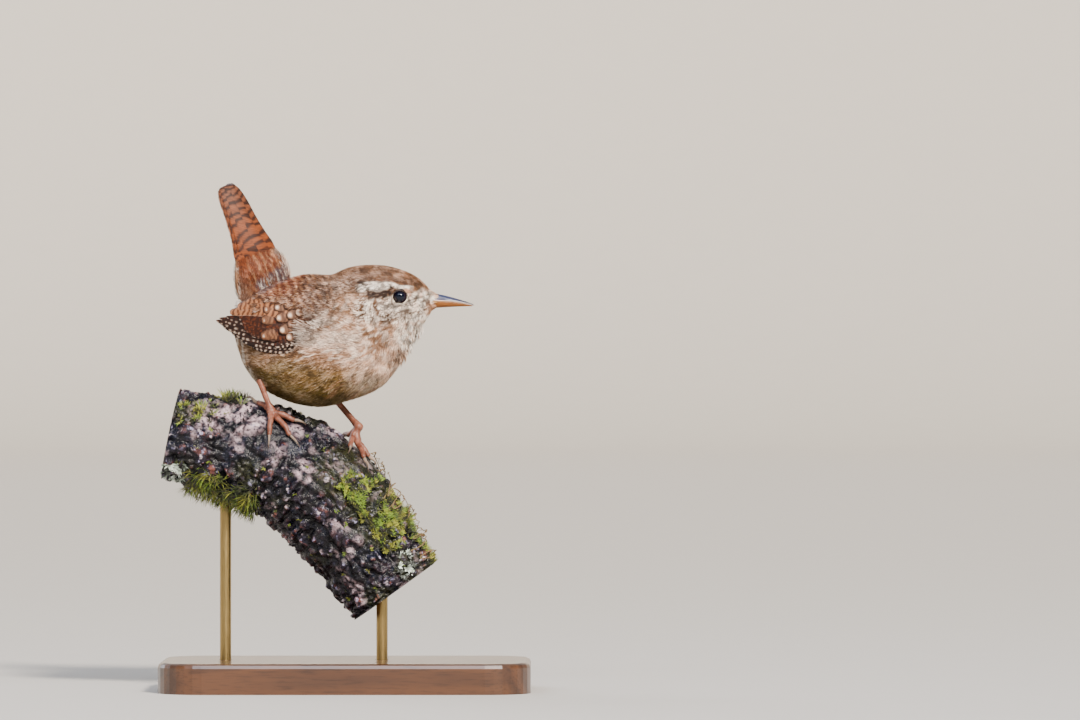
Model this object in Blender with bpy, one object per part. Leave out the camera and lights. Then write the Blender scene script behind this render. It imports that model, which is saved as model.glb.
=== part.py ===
"""A wren perched on a short cut length of branch, with its tail cocked, on a plain display stand.

Life size, in metres. +X is the way the bird faces, -Y is its right side, +Z is up.
The origin is the middle of the base's underside.
"""

import math

import bmesh
import bpy
from mathutils import Matrix, Vector
from mathutils.bvhtree import BVHTree

MM = 0.001
GAP = 0.3 * MM  # left between pieces that touch

# The body is a loft. Each station is the point of the back and the point of the underside that
# one ring joins, as (x, z) in mm, and the ring's half width in mm.
BODY_STATIONS = [
    ("bill_base", (23.0, 104.9), (22.9, 101.0), 1.9),
    ("forehead", (21.2, 107.3), (22.1, 99.4), 4.3),
    ("lores", (18.4, 109.7), (20.7, 97.4), 6.0),
    ("eye", (14.8, 111.3), (19.2, 95.2), 7.4),
    ("crown", (10.4, 112.4), (17.8, 93.3), 8.6),
    ("occiput", (5.2, 112.6), (16.6, 91.2), 9.5),
    ("nape", (0.6, 111.9), (15.4, 89.0), 10.7),
    ("neck", (-3.9, 110.0), (14.0, 86.4), 12.3),
    ("shoulder", (-7.9, 110.2), (11.6, 83.0), 14.1),
    ("upper_back", (-11.7, 110.0), (7.7, 79.5), 15.2),
    ("mid_back", (-15.0, 109.1), (0.9, 76.9), 15.7),
    ("lower_back", (-18.4, 107.6), (-7.0, 75.2), 15.3),
    ("rump", (-21.8, 106.0), (-15.2, 76.7), 13.8),
    ("vent", (-24.9, 104.1), (-22.0, 80.2), 11.2),
    ("tail_root", (-27.2, 101.8), (-26.3, 85.3), 7.8),
    ("rear", (-28.6, 98.8), (-28.4, 90.8), 4.2),
]
BODY_END = (-29.4, 94.8)
BELLY_SAG = 0.10  # how far the widest level of a ring lies below its middle
RINGS_PER_STATION = 2
BODY_SIDES = 24
HEAD_CUT = 5.35  # station numbers at which the body is parted by thin cuts
NECK_CUT = 7.75

EYE_RADIUS = 2.15 * MM
EYE_AT = (14.4 * MM, 6.15 * MM, 104.2 * MM)  # y is for the left eye

BILL_ROOT_X = 22.6 * MM
BILL_TIP = (34.0 * MM, 101.9 * MM)
BILL_HALF_WIDTH = 1.75 * MM
BILL_UPPER_DEPTH = 2.1 * MM
BILL_LOWER_DEPTH = 1.6 * MM
BILL_MOUTH_Z = 102.9 * MM
BILL_TIP_RADIUS = 0.28 * MM

# The folded wing seen from the side: top edge and bottom edge, (x, z) in mm, and how far out it
# stands from the middle at least, in mm.
WING_STATIONS = [
    ((-2.6, 103.5), (-4.0, 98.5), 11.0),
    ((-8.0, 106.7), (-9.3, 92.6), 13.5),
    ((-13.8, 107.4), (-14.9, 88.9), 14.6),
    ((-19.8, 106.3), (-21.0, 89.6), 14.0),
    ((-25.4, 103.7), (-26.4, 91.7), 11.8),
    ((-30.2, 100.6), (-30.9, 94.9), 9.4),
    ((-34.1, 98.5), (-34.4, 97.7), 7.8),
]
WING_EDGE_THICKNESS = 0.6 * MM
WING_MIDDLE_THICKNESS = 1.5 * MM
WING_CAMBER = 3.2 * MM  # how far the two edges bend in towards the body
WING_ALONG, WING_ACROSS = 18, 7

# The cocked tail is an arch in section. Each station is its ridge and its edges seen from the
# side, (x, z) in mm, its half width in mm, and how far coverts fill the arch, from 0 to 1.
TAIL_STATIONS = [
    ((-16.2, 104.5), (-26.5, 99.5), 6.2, 1.0),
    ((-14.6, 109.2), (-27.9, 103.6), 6.6, 1.0),
    ((-15.6, 113.9), (-28.9, 108.6), 6.4, 0.95),
    ((-18.5, 117.8), (-29.2, 113.8), 6.1, 0.65),
    ((-21.3, 121.7), (-30.0, 119.0), 5.8, 0.3),
    ((-23.8, 125.8), (-31.7, 124.8), 5.3, 0.06),
    ((-25.9, 129.7), (-33.3, 129.8), 4.6, 0.0),
    ((-28.0, 132.8), (-33.5, 132.8), 3.6, 0.0),
    ((-30.0, 134.5), (-32.3, 134.3), 2.2, 0.0),
]
TAIL_THICKNESS = 1.0 * MM
TAIL_ARC_POINTS = 11
TAIL_RINGS_PER_STATION = 2

# The branch's middle line, (x, z) in mm, and its radius in mm.
PERCH_Y = 2.0 * MM
PERCH_STATIONS = [
    ((-46.6, 67.8), 11.6),
    ((-35.2, 65.4), 12.7),
    ((-24.1, 62.2), 14.0),
    ((-14.4, 58.2), 15.2),
    ((-5.4, 51.2), 15.2),
    ((2.0, 41.7), 14.4),
    ((9.0, 31.8), 13.6),
    ((13.0, 26.2), 13.2),
]
PERCH_SIDES = 20
PERCH_RINGS_PER_STATION = 3
PERCH_LUMPS = 0.035  # of the radius

# Each leg: where the thigh's tuft lies, its half lengths, where the shank leaves it and where the
# foot's pad is, in mm, the way that the middle toe points, in degrees about +Z from +X, and how far
# the hind toe is turned away from it.
LEGS = {
    "right": {
        "thigh": (-20.9, -6.9, 84.9),
        "thigh_lean": 10.0,
        "shank_top": (-22.8, -7.0, 82.2),
        "ankle": (-19.6, -7.6, 73.9),
        "heading": -56.0,
        "hind_turn": 180.0,
    },
    "left": {
        "thigh": (-5.2, 6.4, 81.2),
        "thigh_lean": -40.0,
        "shank_top": (-3.4, 5.8, 77.4),
        "ankle": (3.3, 1.5, 69.8),
        "heading": -38.0,
        "hind_turn": 207.0,
    },
}
THIGH_HALF_SIZE = (4.2 * MM, 3.2 * MM, 6.2 * MM)
SHANK_RADII = (0.78 * MM, 0.84 * MM, 1.0 * MM)
PAD_RADIUS = 1.25 * MM
# Each toe: its turn from the middle toe in degrees, its length and its claw's, in mm.
TOES = {
    "hind": (0.0, 6.2, 4.6),
    "inner": (37.0, 6.6, 3.2),
    "middle": (0.0, 9.6, 3.6),
    "outer": (-27.0, 7.6, 3.2),
}
TOE_RADII = (0.80 * MM, 0.58 * MM)
CLAW_RADII = (0.46 * MM, 0.2 * MM)
TOE_STEPS, CLAW_STEPS = 7, 5
TOE_ARCH = 0.45 * MM

BASE_SIZE = (98 * MM, 60 * MM, 8 * MM)
BASE_CORNER = 12 * MM
BASE_CHAMFER = 1.2 * MM
ROD_RADIUS = 1.5 * MM
ROD_SOCKET = 4 * MM  # how deep each end of a rod sits
ROD_PLACES = {"rear": -32.0 * MM, "front": 9.5 * MM}

COLOURS = {
    "plumage_brown": ((0.23, 0.13, 0.075), 0.85, 0.0),
    "plumage_buff": ((0.42, 0.31, 0.21), 0.85, 0.0),
    "tail_rufous": ((0.36, 0.15, 0.06), 0.8, 0.0),
    "wing_barred": ((0.22, 0.12, 0.06), 0.8, 0.0),
    "horn_dark": ((0.10, 0.08, 0.08), 0.4, 0.0),
    "horn_orange": ((0.48, 0.26, 0.11), 0.4, 0.0),
    "eye_black": ((0.008, 0.008, 0.012), 0.05, 0.0),
    "leg_pink": ((0.46, 0.27, 0.20), 0.55, 0.0),
    "claw_horn": ((0.42, 0.34, 0.29), 0.4, 0.0),
    "bark": ((0.045, 0.04, 0.05), 0.9, 0.0),
    "stand_wood": ((0.09, 0.045, 0.022), 0.45, 0.0),
    "stand_metal": ((0.55, 0.53, 0.48), 0.35, 1.0),
}


def clear_scene():
    """Removes whatever the startup file holds."""
    for obj in list(bpy.data.objects):
        bpy.data.objects.remove(obj)


def material(name):
    """The named finish as a Principled material."""
    if name in bpy.data.materials:
        return bpy.data.materials[name]
    colour, roughness, metallic = COLOURS[name]
    made = bpy.data.materials.new(name)
    made.use_nodes = True
    shader = made.node_tree.nodes["Principled BSDF"]
    shader.inputs["Base Color"].default_value = (*colour, 1.0)
    shader.inputs["Roughness"].default_value = roughness
    shader.inputs["Metallic"].default_value = metallic
    return made


def collection(name, hidden=False):
    """A collection of that name, in the scene."""
    if name not in bpy.data.collections:
        made = bpy.data.collections.new(name)
        made.hide_render = hidden
        bpy.context.scene.collection.children.link(made)
    return bpy.data.collections[name]


def add_object(name, mesh, finish, smooth_angle=40):
    """A part of the model from a mesh."""
    obj = bpy.data.objects.new(name, mesh)
    collection("wren").objects.link(obj)
    mesh.materials.clear()
    mesh.materials.append(material(finish))
    mesh.shade_smooth()
    mesh.set_sharp_from_angle(angle=math.radians(smooth_angle))
    return obj


def add_cutter(name, mesh):
    """A helper that only cuts: it isn't a part."""
    obj = bpy.data.objects.new(name, mesh)
    collection("cutters", hidden=True).objects.link(obj)
    obj.hide_render = True
    obj.display_type = "WIRE"
    return obj


def to_mesh(bm, name):
    """The bmesh as a mesh with its faces pointing out."""
    bmesh.ops.recalc_face_normals(bm, faces=bm.faces)
    mesh = bpy.data.meshes.new(name)
    bm.to_mesh(mesh)
    bm.free()
    return mesh


def loft(name, rings, tip=None):
    """A closed surface through rings of like length, capped flat, or drawn to a point at tip."""
    bm = bmesh.new()
    loops = [[bm.verts.new(point) for point in ring] for ring in rings]
    for first, second in zip(loops, loops[1:]):
        for i, vert in enumerate(first):
            after = (i + 1) % len(first)
            bm.faces.new((vert, first[after], second[after], second[i]))
    bm.faces.new(loops[0])
    if tip is None:
        bm.faces.new(loops[-1])
    else:
        point = bm.verts.new(tip)
        for i, vert in enumerate(loops[-1]):
            bm.faces.new((vert, loops[-1][(i + 1) % len(loops[-1])], point))
    return to_mesh(bm, name)


def through(values, at):
    """A smooth Catmull-Rom curve through numbers or vectors, read at a fractional index."""
    last = len(values) - 1
    i = min(int(at), last - 1)
    t = at - i
    before, start, end, after = (values[min(max(k, 0), last)] for k in (i - 1, i, i + 1, i + 2))
    return 0.5 * (
        2 * start
        + (end - before) * t
        + (2 * before - 5 * start + 4 * end - after) * t * t
        + (3 * start - before - 3 * end + after) * t * t * t
    )


def side_point(pair, y=0.0):
    """A point given as (x, z) in mm, in metres."""
    return Vector((pair[0] * MM, y, pair[1] * MM))


def inflated(mesh, name, by):
    """A copy of a closed mesh, moved out along its normals."""
    bm = bmesh.new()
    bm.from_mesh(mesh)
    bm.normal_update()
    for vert, normal in [(v, v.normal.copy()) for v in bm.verts]:
        vert.co += normal * by
    return to_mesh(bm, name)


def boolean(obj, other, operation="DIFFERENCE"):
    """Cuts or joins with other, and keeps the result as obj's own mesh."""
    modifier = obj.modifiers.new(operation.title(), "BOOLEAN")
    modifier.object = other
    modifier.operation = operation
    graph = bpy.context.evaluated_depsgraph_get()
    made = bpy.data.meshes.new_from_object(obj.evaluated_get(graph))
    obj.modifiers.clear()
    obj.data = made


def ellipsoid(name, half_size, turn, place, sides=16):
    """A sphere scaled to three half lengths, turned about Y and put in its place."""
    bm = bmesh.new()
    bmesh.ops.create_uvsphere(bm, u_segments=sides, v_segments=sides // 2, radius=1.0)
    scale = Matrix.Diagonal((*half_size, 1.0))
    turned = Matrix.Rotation(math.radians(turn), 4, "Y")
    bmesh.ops.transform(bm, matrix=Matrix.Translation(place) @ turned @ scale, verts=bm.verts)
    return to_mesh(bm, name)


def body_ring(at):
    """One ring of the body: an ellipse from back to underside whose widest level sags a little."""
    back = through([side_point(s[1]) for s in BODY_STATIONS], at)
    under = through([side_point(s[2]) for s in BODY_STATIONS], at)
    half_width = through([s[3] for s in BODY_STATIONS], at) * MM
    middle, reach = (back + under) / 2, (back - under) / 2
    ring = []
    for k in range(BODY_SIDES):
        angle = 2 * math.pi * k / BODY_SIDES
        rise = math.cos(angle) - BELLY_SAG * math.sin(angle) ** 2
        ring.append(middle + reach * rise + Vector((0, half_width * math.sin(angle), 0)))
    return ring


def body_mesh(name):
    """The whole body from the bill's root to the tail's, before it is parted."""
    count = (len(BODY_STATIONS) - 1) * RINGS_PER_STATION
    rings = [body_ring(k / RINGS_PER_STATION) for k in range(count + 1)]
    return loft(name, rings, tip=side_point(BODY_END))


def cut_plane(at):
    """(point, normal) of the flat cut at a station number; the normal points to the bill."""
    back = through([side_point(s[1]) for s in BODY_STATIONS], at)
    under = through([side_point(s[2]) for s in BODY_STATIONS], at)
    normal = Vector((0, 1, 0)).cross(back - under).normalized()
    return back, normal


def keep_side(bm, point, normal):
    """Cuts a closed bmesh by a plane, keeps what lies behind the normal, and closes the cut."""
    geometry = bm.verts[:] + bm.edges[:] + bm.faces[:]
    cut = bmesh.ops.bisect_plane(bm, geom=geometry, plane_co=point, plane_no=normal, clear_outer=True)
    edges = [e for e in cut["geom_cut"] if isinstance(e, bmesh.types.BMEdge)]
    bmesh.ops.contextual_create(bm, geom=edges)


def make_body():
    """Head, neck and trunk, parted by two thin flat cuts."""
    whole = body_mesh("body")
    head_cut, neck_cut = cut_plane(HEAD_CUT), cut_plane(NECK_CUT)
    sides = {
        "head": [(head_cut, -1)],
        "neck": [(head_cut, 1), (neck_cut, -1)],
        "trunk": [(neck_cut, 1)],
    }
    parts = {}
    for name, cuts in sides.items():
        bm = bmesh.new()
        bm.from_mesh(whole)
        for (point, normal), way in cuts:
            keep_side(bm, point - normal * way * GAP / 2, normal * way)
        finish = "plumage_buff" if name == "trunk" else "plumage_brown"
        parts[name] = add_object(name, to_mesh(bm, name), finish)
    return parts, whole


def make_eyes(head):
    """Two eyeballs, each in a socket of the head."""
    for side, way in (("right", -1), ("left", 1)):
        place = Vector((EYE_AT[0], way * EYE_AT[1], EYE_AT[2]))
        size = (EYE_RADIUS,) * 3
        add_object(f"eye_{side}", ellipsoid(f"eye_{side}", size, 0, place), "eye_black")
        socket = (EYE_RADIUS + GAP,) * 3
        boolean(head, add_cutter(f"socket_{side}", ellipsoid(f"socket_{side}", socket, 0, place)))


def make_bill():
    """Two slim mandibles that taper to a slightly bent tip and meet along the mouth."""
    steps, sides = 10, 10
    for name, way, depth, finish in (
        ("bill_upper", 1, BILL_UPPER_DEPTH, "horn_dark"),
        ("bill_lower", -1, BILL_LOWER_DEPTH, "horn_orange"),
    ):
        rings = []
        for i in range(steps + 1):
            t = i / steps
            length = BILL_TIP[0] - BILL_ROOT_X - (0.4 * MM if way < 0 else 0)
            x = BILL_ROOT_X + GAP * 2 + (length - GAP * 2) * t
            mouth = BILL_MOUTH_Z + (BILL_TIP[1] - BILL_MOUTH_Z) * t ** 2.2 + way * GAP / 2
            width = BILL_TIP_RADIUS + (BILL_HALF_WIDTH - BILL_TIP_RADIUS) * (1 - t) ** 1.15
            high = BILL_TIP_RADIUS + (depth - BILL_TIP_RADIUS) * (1 - t ** 1.5)
            angles = [math.pi * k / (sides - 1) for k in range(sides)]
            rings.append([
                Vector((x, width * math.cos(a), mouth + way * high * math.sin(a))) for a in angles
            ])
        add_object(name, loft(name, rings), finish)


def wing_point(body_tree, along, across, out):
    """A point of the right wing. The wing lies over the body, or stands out a little where the body
    falls away, and both edges bend in. across runs from -1, the bottom edge, to 1, the top."""
    at = along * (len(WING_STATIONS) - 1)
    top = through([side_point(s[0]) for s in WING_STATIONS], at)
    bottom = through([side_point(s[1]) for s in WING_STATIONS], at)
    stand = through([s[2] for s in WING_STATIONS], at) * MM
    place = bottom + (top - bottom) * (across + 1) / 2
    hit = body_tree.ray_cast(Vector((place.x, -0.1, place.z)), Vector((0, 1, 0)))[0]
    on_body = -hit.y + GAP if hit else 0.0
    narrow = min(1.0, (top - bottom).length / (16 * MM))
    plane = stand - WING_CAMBER * narrow * (0.35 + 0.65 * across) ** 2
    round_edge = math.sqrt(max(0.0, 1 - abs(across) ** 3))
    thick = WING_EDGE_THICKNESS + (WING_MIDDLE_THICKNESS - WING_EDGE_THICKNESS) * round_edge * narrow
    return Vector((place.x, -max(on_body, plane) - thick * out, place.z))


def make_wings(body):
    """Two folded wings, each a closed plate over the flank."""
    tree = BVHTree.FromPolygons([v.co for v in body.vertices], [p.vertices[:] for p in body.polygons])
    rings = []
    for i in range(WING_ALONG + 1):
        along = i / WING_ALONG
        levels = [2 * k / WING_ACROSS - 1 for k in range(WING_ACROSS + 1)]
        outer = [wing_point(tree, along, level, 1) for level in levels]
        inner = [wing_point(tree, along, level, 0) for level in reversed(levels)]
        rings.append(outer + inner)
    mirrored = [[Vector((p.x, -p.y, p.z)) for p in ring] for ring in rings]
    add_object("wing_right", loft("wing_right", rings), "wing_barred")
    add_object("wing_left", loft("wing_left", mirrored), "wing_barred")


def tail_ring(at):
    """One section of the tail: an arch from edge over ridge to edge, and its underside, which is
    a thinner arch where the coverts leave it open and a full belly where they fill it."""
    ridge = through([side_point(s[0]) for s in TAIL_STATIONS], at)
    edge = through([side_point(s[1]) for s in TAIL_STATIONS], at)
    half_width = through([s[2] for s in TAIL_STATIONS], at) * MM
    fill = min(1.0, max(0.0, through([s[3] for s in TAIL_STATIONS], at)))
    drop = edge - ridge
    thin = TAIL_THICKNESS
    outer, inner = [], []
    for k in range(TAIL_ARC_POINTS):
        angle = math.pi * (k / (TAIL_ARC_POINTS - 1) - 0.5)
        across = Vector((0, math.sin(angle), 0))
        outer.append(ridge + drop * (1 - math.cos(angle)) + across * half_width)
        level = thin / drop.length + (1 - thin / drop.length) * (1 - math.cos(angle))
        open_under = ridge + drop * level + across * (half_width - thin)
        full_under = ridge + drop * (1 + 0.03 * math.cos(angle)) + across * (half_width - thin)
        inner.append(open_under.lerp(full_under, fill))
    return outer + inner[::-1]


def make_tail(body_bed):
    """The cocked tail with its coverts, cut clear of the body that it grows from."""
    count = (len(TAIL_STATIONS) - 1) * TAIL_RINGS_PER_STATION
    rings = [tail_ring(k / TAIL_RINGS_PER_STATION) for k in range(count + 1)]
    tail = add_object("tail", loft("tail", rings), "tail_rufous")
    boolean(tail, body_bed)


def perch_frame(at):
    """(middle, way along, radius) of the branch at a fractional station."""
    points = [side_point(s[0], PERCH_Y) for s in PERCH_STATIONS]
    middle = through(points, at)
    ahead = through(points, min(at + 0.05, len(points) - 1))
    behind = through(points, max(at - 0.05, 0))
    radius = through([s[1] for s in PERCH_STATIONS], at) * MM
    return middle, (ahead - behind).normalized(), radius


def make_perch():
    """The cut length of branch: a bent round loft with a few low lumps and flat sawn ends."""
    count = (len(PERCH_STATIONS) - 1) * PERCH_RINGS_PER_STATION
    rings = []
    for i in range(count + 1):
        at = i / PERCH_RINGS_PER_STATION
        middle, along, radius = perch_frame(at)
        out = along.cross(Vector((0, 1, 0)))
        ring = []
        for k in range(PERCH_SIDES):
            angle = 2 * math.pi * k / PERCH_SIDES
            lump = math.sin(2 * angle + 1.7 * at) + 0.6 * math.sin(3 * angle - 2.3 * at + 1.0)
            reach = radius * (1 + PERCH_LUMPS * 0.6 * lump)
            ring.append(middle + reach * (out * math.cos(angle) + Vector((0, math.sin(angle), 0))))
        rings.append(ring)
    return add_object("perch", loft("perch", rings), "bark")


def tube(name, points, radii, finish):
    """A round tube along points, whose radius runs smoothly through radii."""
    curve = bpy.data.curves.new(name, "CURVE")
    curve.dimensions = "3D"
    curve.bevel_depth = 1.0
    curve.bevel_resolution = 1
    curve.use_fill_caps = True
    spline = curve.splines.new("POLY")
    spline.points.add(len(points) - 1)
    for i, (knot, point) in enumerate(zip(spline.points, points)):
        knot.co = (*point, 1.0)
        knot.radius = through(radii, i / (len(points) - 1) * (len(radii) - 1))
    drawn = bpy.data.objects.new(name + "_curve", curve)
    collection("wren").objects.link(drawn)
    graph = bpy.context.evaluated_depsgraph_get()
    mesh = bpy.data.meshes.new_from_object(drawn.evaluated_get(graph))
    bpy.data.objects.remove(drawn)
    bm = bmesh.new()
    bm.from_mesh(mesh)
    bmesh.ops.remove_doubles(bm, verts=bm.verts, dist=0.01 * MM)
    return add_object(name, to_mesh(bm, name), finish)


def along_bark(tree, start, heading, distances, heights):
    """Points that walk over the branch from start, each at its height above the bark."""
    here, normal, _, _ = tree.find_nearest(start)
    way = heading.normalized()
    points, walked = [], 0.0
    for distance, height in zip(distances, heights):
        way = (way - normal * way.dot(normal)).normalized()
        here, normal, _, _ = tree.find_nearest(here + way * (distance - walked))
        walked = distance
        points.append(here + normal * height)
    return points


def make_foot(side, leg, tree):
    """One foot: a pad with four toes that follow the bark, and four claws of their own."""
    bark, away, _, _ = tree.find_nearest(Vector(leg["ankle"]) * MM)
    lift = max(PAD_RADIUS + GAP, (Vector(leg["ankle"]) * MM - bark).dot(away))
    ankle = bark + away * lift
    pad_name = f"pad_{side}"
    pad = ellipsoid(pad_name, (PAD_RADIUS,) * 3, 0, ankle, sides=12)
    foot = add_object(f"foot_{side}", pad, "leg_pink")
    outward = 1 if side == "left" else -1
    for toe, (turn, length, claw) in TOES.items():
        turn = leg["hind_turn"] if toe == "hind" else turn
        angle = math.radians(leg["heading"] - outward * turn)
        heading = Vector((math.cos(angle), math.sin(angle), 0))
        reach = (length + claw) * MM
        distances = [reach * k / (TOE_STEPS + CLAW_STEPS) for k in range(1, TOE_STEPS + CLAW_STEPS + 1)]
        toe_end = length * MM
        heights = []
        for distance in distances:
            share = min(1.0, distance / toe_end)
            thick = TOE_RADII[0] + (TOE_RADII[1] - TOE_RADII[0]) * share
            arch = TOE_ARCH * math.sin(math.pi * share) ** 2
            beyond = max(0.0, distance - toe_end) / (claw * MM)
            bow = 0.55 * MM * math.sin(math.pi * min(1.0, beyond * 1.05)) - 0.25 * MM * beyond
            let_down = (lift - PAD_RADIUS) * max(0.0, 1 - 2.2 * share) ** 2
            heights.append(thick + GAP + arch + bow + let_down)
        path = along_bark(tree, ankle, heading, distances, heights)
        toe_points = [ankle] + [p for p, d in zip(path, distances) if d <= toe_end]
        claw_points = [p for p, d in zip(path, distances) if d > toe_end]
        joined = tube(f"toe_{side}_{toe}", toe_points, TOE_RADII, "leg_pink")
        boolean(foot, joined, "UNION")
        bpy.data.objects.remove(joined)
        gap_way = (claw_points[0] - toe_points[-1]).normalized()
        claw_points.insert(0, toe_points[-1] + gap_way * GAP)
        tube(f"claw_{side}_{toe}", claw_points, CLAW_RADII, "claw_horn")
    return ankle


def make_legs(trunk, body_bed, tree):
    """Thigh tufts let into the trunk, bare shanks below them, and the feet on the bark."""
    for side, leg in LEGS.items():
        place = Vector(leg["thigh"]) * MM
        thigh = ellipsoid(f"thigh_{side}", THIGH_HALF_SIZE, leg["thigh_lean"], place, sides=16)
        add_object(f"thigh_{side}", thigh, "plumage_buff")
        bed = add_cutter(f"thigh_bed_{side}", inflated(thigh, f"thigh_bed_{side}", GAP))
        boolean(trunk, bed)
        ankle = make_foot(side, leg, tree)
        top = Vector(leg["shank_top"]) * MM
        points = [top.lerp(ankle, k / 6) for k in range(7)]
        shank = tube(f"shank_{side}", points, SHANK_RADII, "leg_pink")
        boolean(shank, body_bed)
        boolean(shank, bed)
        ankle_size = (PAD_RADIUS + 2 * GAP,) * 3
        socket = ellipsoid(f"ankle_bed_{side}", ankle_size, 0, ankle, sides=12)
        boolean(shank, add_cutter(f"ankle_bed_{side}", socket))


def make_base():
    """A flat board with round corners and a small chamfer."""
    bpy.ops.mesh.primitive_cube_add(size=1, location=(0, 0, BASE_SIZE[2] / 2))
    base = bpy.context.object
    base.name = "stand_base"
    collection("wren").objects.link(base)
    for other in list(base.users_collection):
        if other.name != "wren":
            other.objects.unlink(base)
    bm = bmesh.new()
    bm.from_mesh(base.data)
    bmesh.ops.scale(bm, vec=BASE_SIZE, verts=bm.verts)
    upright = [e for e in bm.edges if abs(e.verts[0].co.z - e.verts[1].co.z) > BASE_SIZE[2] / 2]
    bmesh.ops.bevel(bm, geom=upright, offset=BASE_CORNER, segments=8, profile=0.5, affect="EDGES")
    top = [e for e in bm.edges if min(v.co.z for v in e.verts) > BASE_SIZE[2] / 2 - 1e-6]
    bmesh.ops.bevel(bm, geom=top, offset=BASE_CHAMFER, segments=2, profile=0.5, affect="EDGES")
    bm.to_mesh(base.data)
    bm.free()
    base.data.materials.append(material("stand_wood"))
    return base


def cylinder(name, radius, low, high, x):
    """A round bar that stands on end."""
    bm = bmesh.new()
    bmesh.ops.create_cone(
        bm, cap_ends=True, segments=20, radius1=radius, radius2=radius, depth=high - low
    )
    bmesh.ops.translate(bm, vec=(x, PERCH_Y, (high + low) / 2), verts=bm.verts)
    return to_mesh(bm, name)


def make_rods(base, perch):
    """Two short rods, let into the base and into the branch."""
    tree = BVHTree.FromObject(perch, bpy.context.evaluated_depsgraph_get())
    for place, x in ROD_PLACES.items():
        under = tree.ray_cast(Vector((x, PERCH_Y, 0)), Vector((0, 0, 1)))[0].z
        low, high = BASE_SIZE[2] - ROD_SOCKET, under + ROD_SOCKET
        name = f"stand_rod_{place}"
        add_object(name, cylinder(name, ROD_RADIUS, low, high, x), "stand_metal")
        hole = cylinder(f"{name}_hole", ROD_RADIUS + GAP, low - GAP, high + GAP, x)
        cutter = add_cutter(f"{name}_hole", hole)
        boolean(base, cutter)
        boolean(perch, cutter)


def main():
    clear_scene()
    parts, whole = make_body()
    make_eyes(parts["head"])
    make_bill()
    body_bed = add_cutter("body_bed", inflated(whole, "body_bed", GAP))
    make_wings(whole)
    make_tail(body_bed)
    perch = make_perch()
    tree = BVHTree.FromObject(perch, bpy.context.evaluated_depsgraph_get())
    make_legs(parts["trunk"], body_bed, tree)
    make_rods(make_base(), perch)


main()
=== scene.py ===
"""Dresses the wren's CAD frame: skin, feathers, eyes, horn, bark and a plain display stand.

Lengths in the tables are in mm, seen from the right side as (x, z) unless they say otherwise.
+X is the way the bird faces, -Y is its right side, +Z is up. Meshes are written in metres.
"""

import math

import bpy
import numpy as np

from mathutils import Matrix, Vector
from mathutils.bvhtree import BVHTree


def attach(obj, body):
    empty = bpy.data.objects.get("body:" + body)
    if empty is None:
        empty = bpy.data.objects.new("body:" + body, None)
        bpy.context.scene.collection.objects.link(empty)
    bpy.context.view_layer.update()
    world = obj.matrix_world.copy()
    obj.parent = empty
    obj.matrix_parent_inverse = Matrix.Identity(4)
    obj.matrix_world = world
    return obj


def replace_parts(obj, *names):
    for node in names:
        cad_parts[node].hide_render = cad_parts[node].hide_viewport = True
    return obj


bl_info = {
    "name": "Wren on a cut branch",
    "version": (1, 0, 0),
    "blender": (4, 5, 0),
    "location": "3D View > Sidebar > Wren",
    "description": "Gives the wren's frame its skin, feathers, horn, bark and stand",
    "category": "Object",
}
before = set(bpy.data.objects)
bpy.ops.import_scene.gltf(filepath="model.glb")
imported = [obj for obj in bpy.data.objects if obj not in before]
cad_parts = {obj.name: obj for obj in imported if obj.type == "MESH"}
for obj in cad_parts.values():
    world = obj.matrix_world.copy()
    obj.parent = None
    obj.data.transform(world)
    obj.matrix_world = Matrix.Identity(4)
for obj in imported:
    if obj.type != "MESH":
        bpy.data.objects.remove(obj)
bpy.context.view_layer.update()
MM = 0.001
TAU = 2 * math.pi
SIDES = {"right": -1.0, "left": 1.0}

# Rings of the body from bill to tail: back x and z, underside x and z, half width.
BODY = np.array([
    (23.7, 103.2, 23.7, 102.8, 0.0),
    (23.0, 104.9, 22.9, 101.0, 1.9),
    (21.2, 107.3, 22.1, 99.4, 4.3),
    (18.4, 109.7, 20.7, 97.4, 6.0),
    (14.8, 111.3, 19.2, 95.2, 7.4),
    (10.4, 112.4, 17.8, 93.3, 8.6),
    (5.2, 112.6, 16.6, 91.2, 9.5),
    (0.6, 111.9, 15.4, 89.0, 10.7),
    (-3.9, 110.0, 14.0, 86.4, 12.3),
    (-7.9, 110.2, 11.6, 83.0, 14.1),
    (-11.7, 110.0, 7.7, 79.5, 15.2),
    (-15.0, 109.1, 0.9, 76.9, 15.7),
    (-18.4, 107.6, -7.0, 75.2, 15.3),
    (-21.8, 106.0, -15.2, 76.7, 13.8),
    (-24.9, 104.1, -22.0, 80.2, 11.2),
    (-27.2, 101.8, -26.3, 85.3, 7.8),
    (-28.6, 98.8, -28.4, 90.8, 4.2),
    (-29.4, 95.0, -29.4, 94.6, 0.0),
])
BODY_LAST = len(BODY) - 1.0
BELLY_SAG = 0.10  # how far a ring's widest level lies below its middle
EYE = (14.4, 6.15, 104.2)
EYE_RADIUS = 2.15

# The folded wing: top x and z, bottom x and z, and how far out it stands.
WING = np.array([
    (-2.6, 103.5, -4.0, 98.5, 11.0),
    (-8.0, 106.7, -9.3, 92.6, 13.5),
    (-13.8, 107.4, -14.9, 88.9, 14.6),
    (-19.8, 106.3, -21.0, 89.6, 14.0),
    (-25.4, 103.7, -26.4, 91.7, 11.8),
    (-30.2, 100.6, -30.9, 94.9, 9.4),
    (-34.1, 98.5, -34.4, 97.7, 7.8),
])
WING_CAMBER = 3.2

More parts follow.
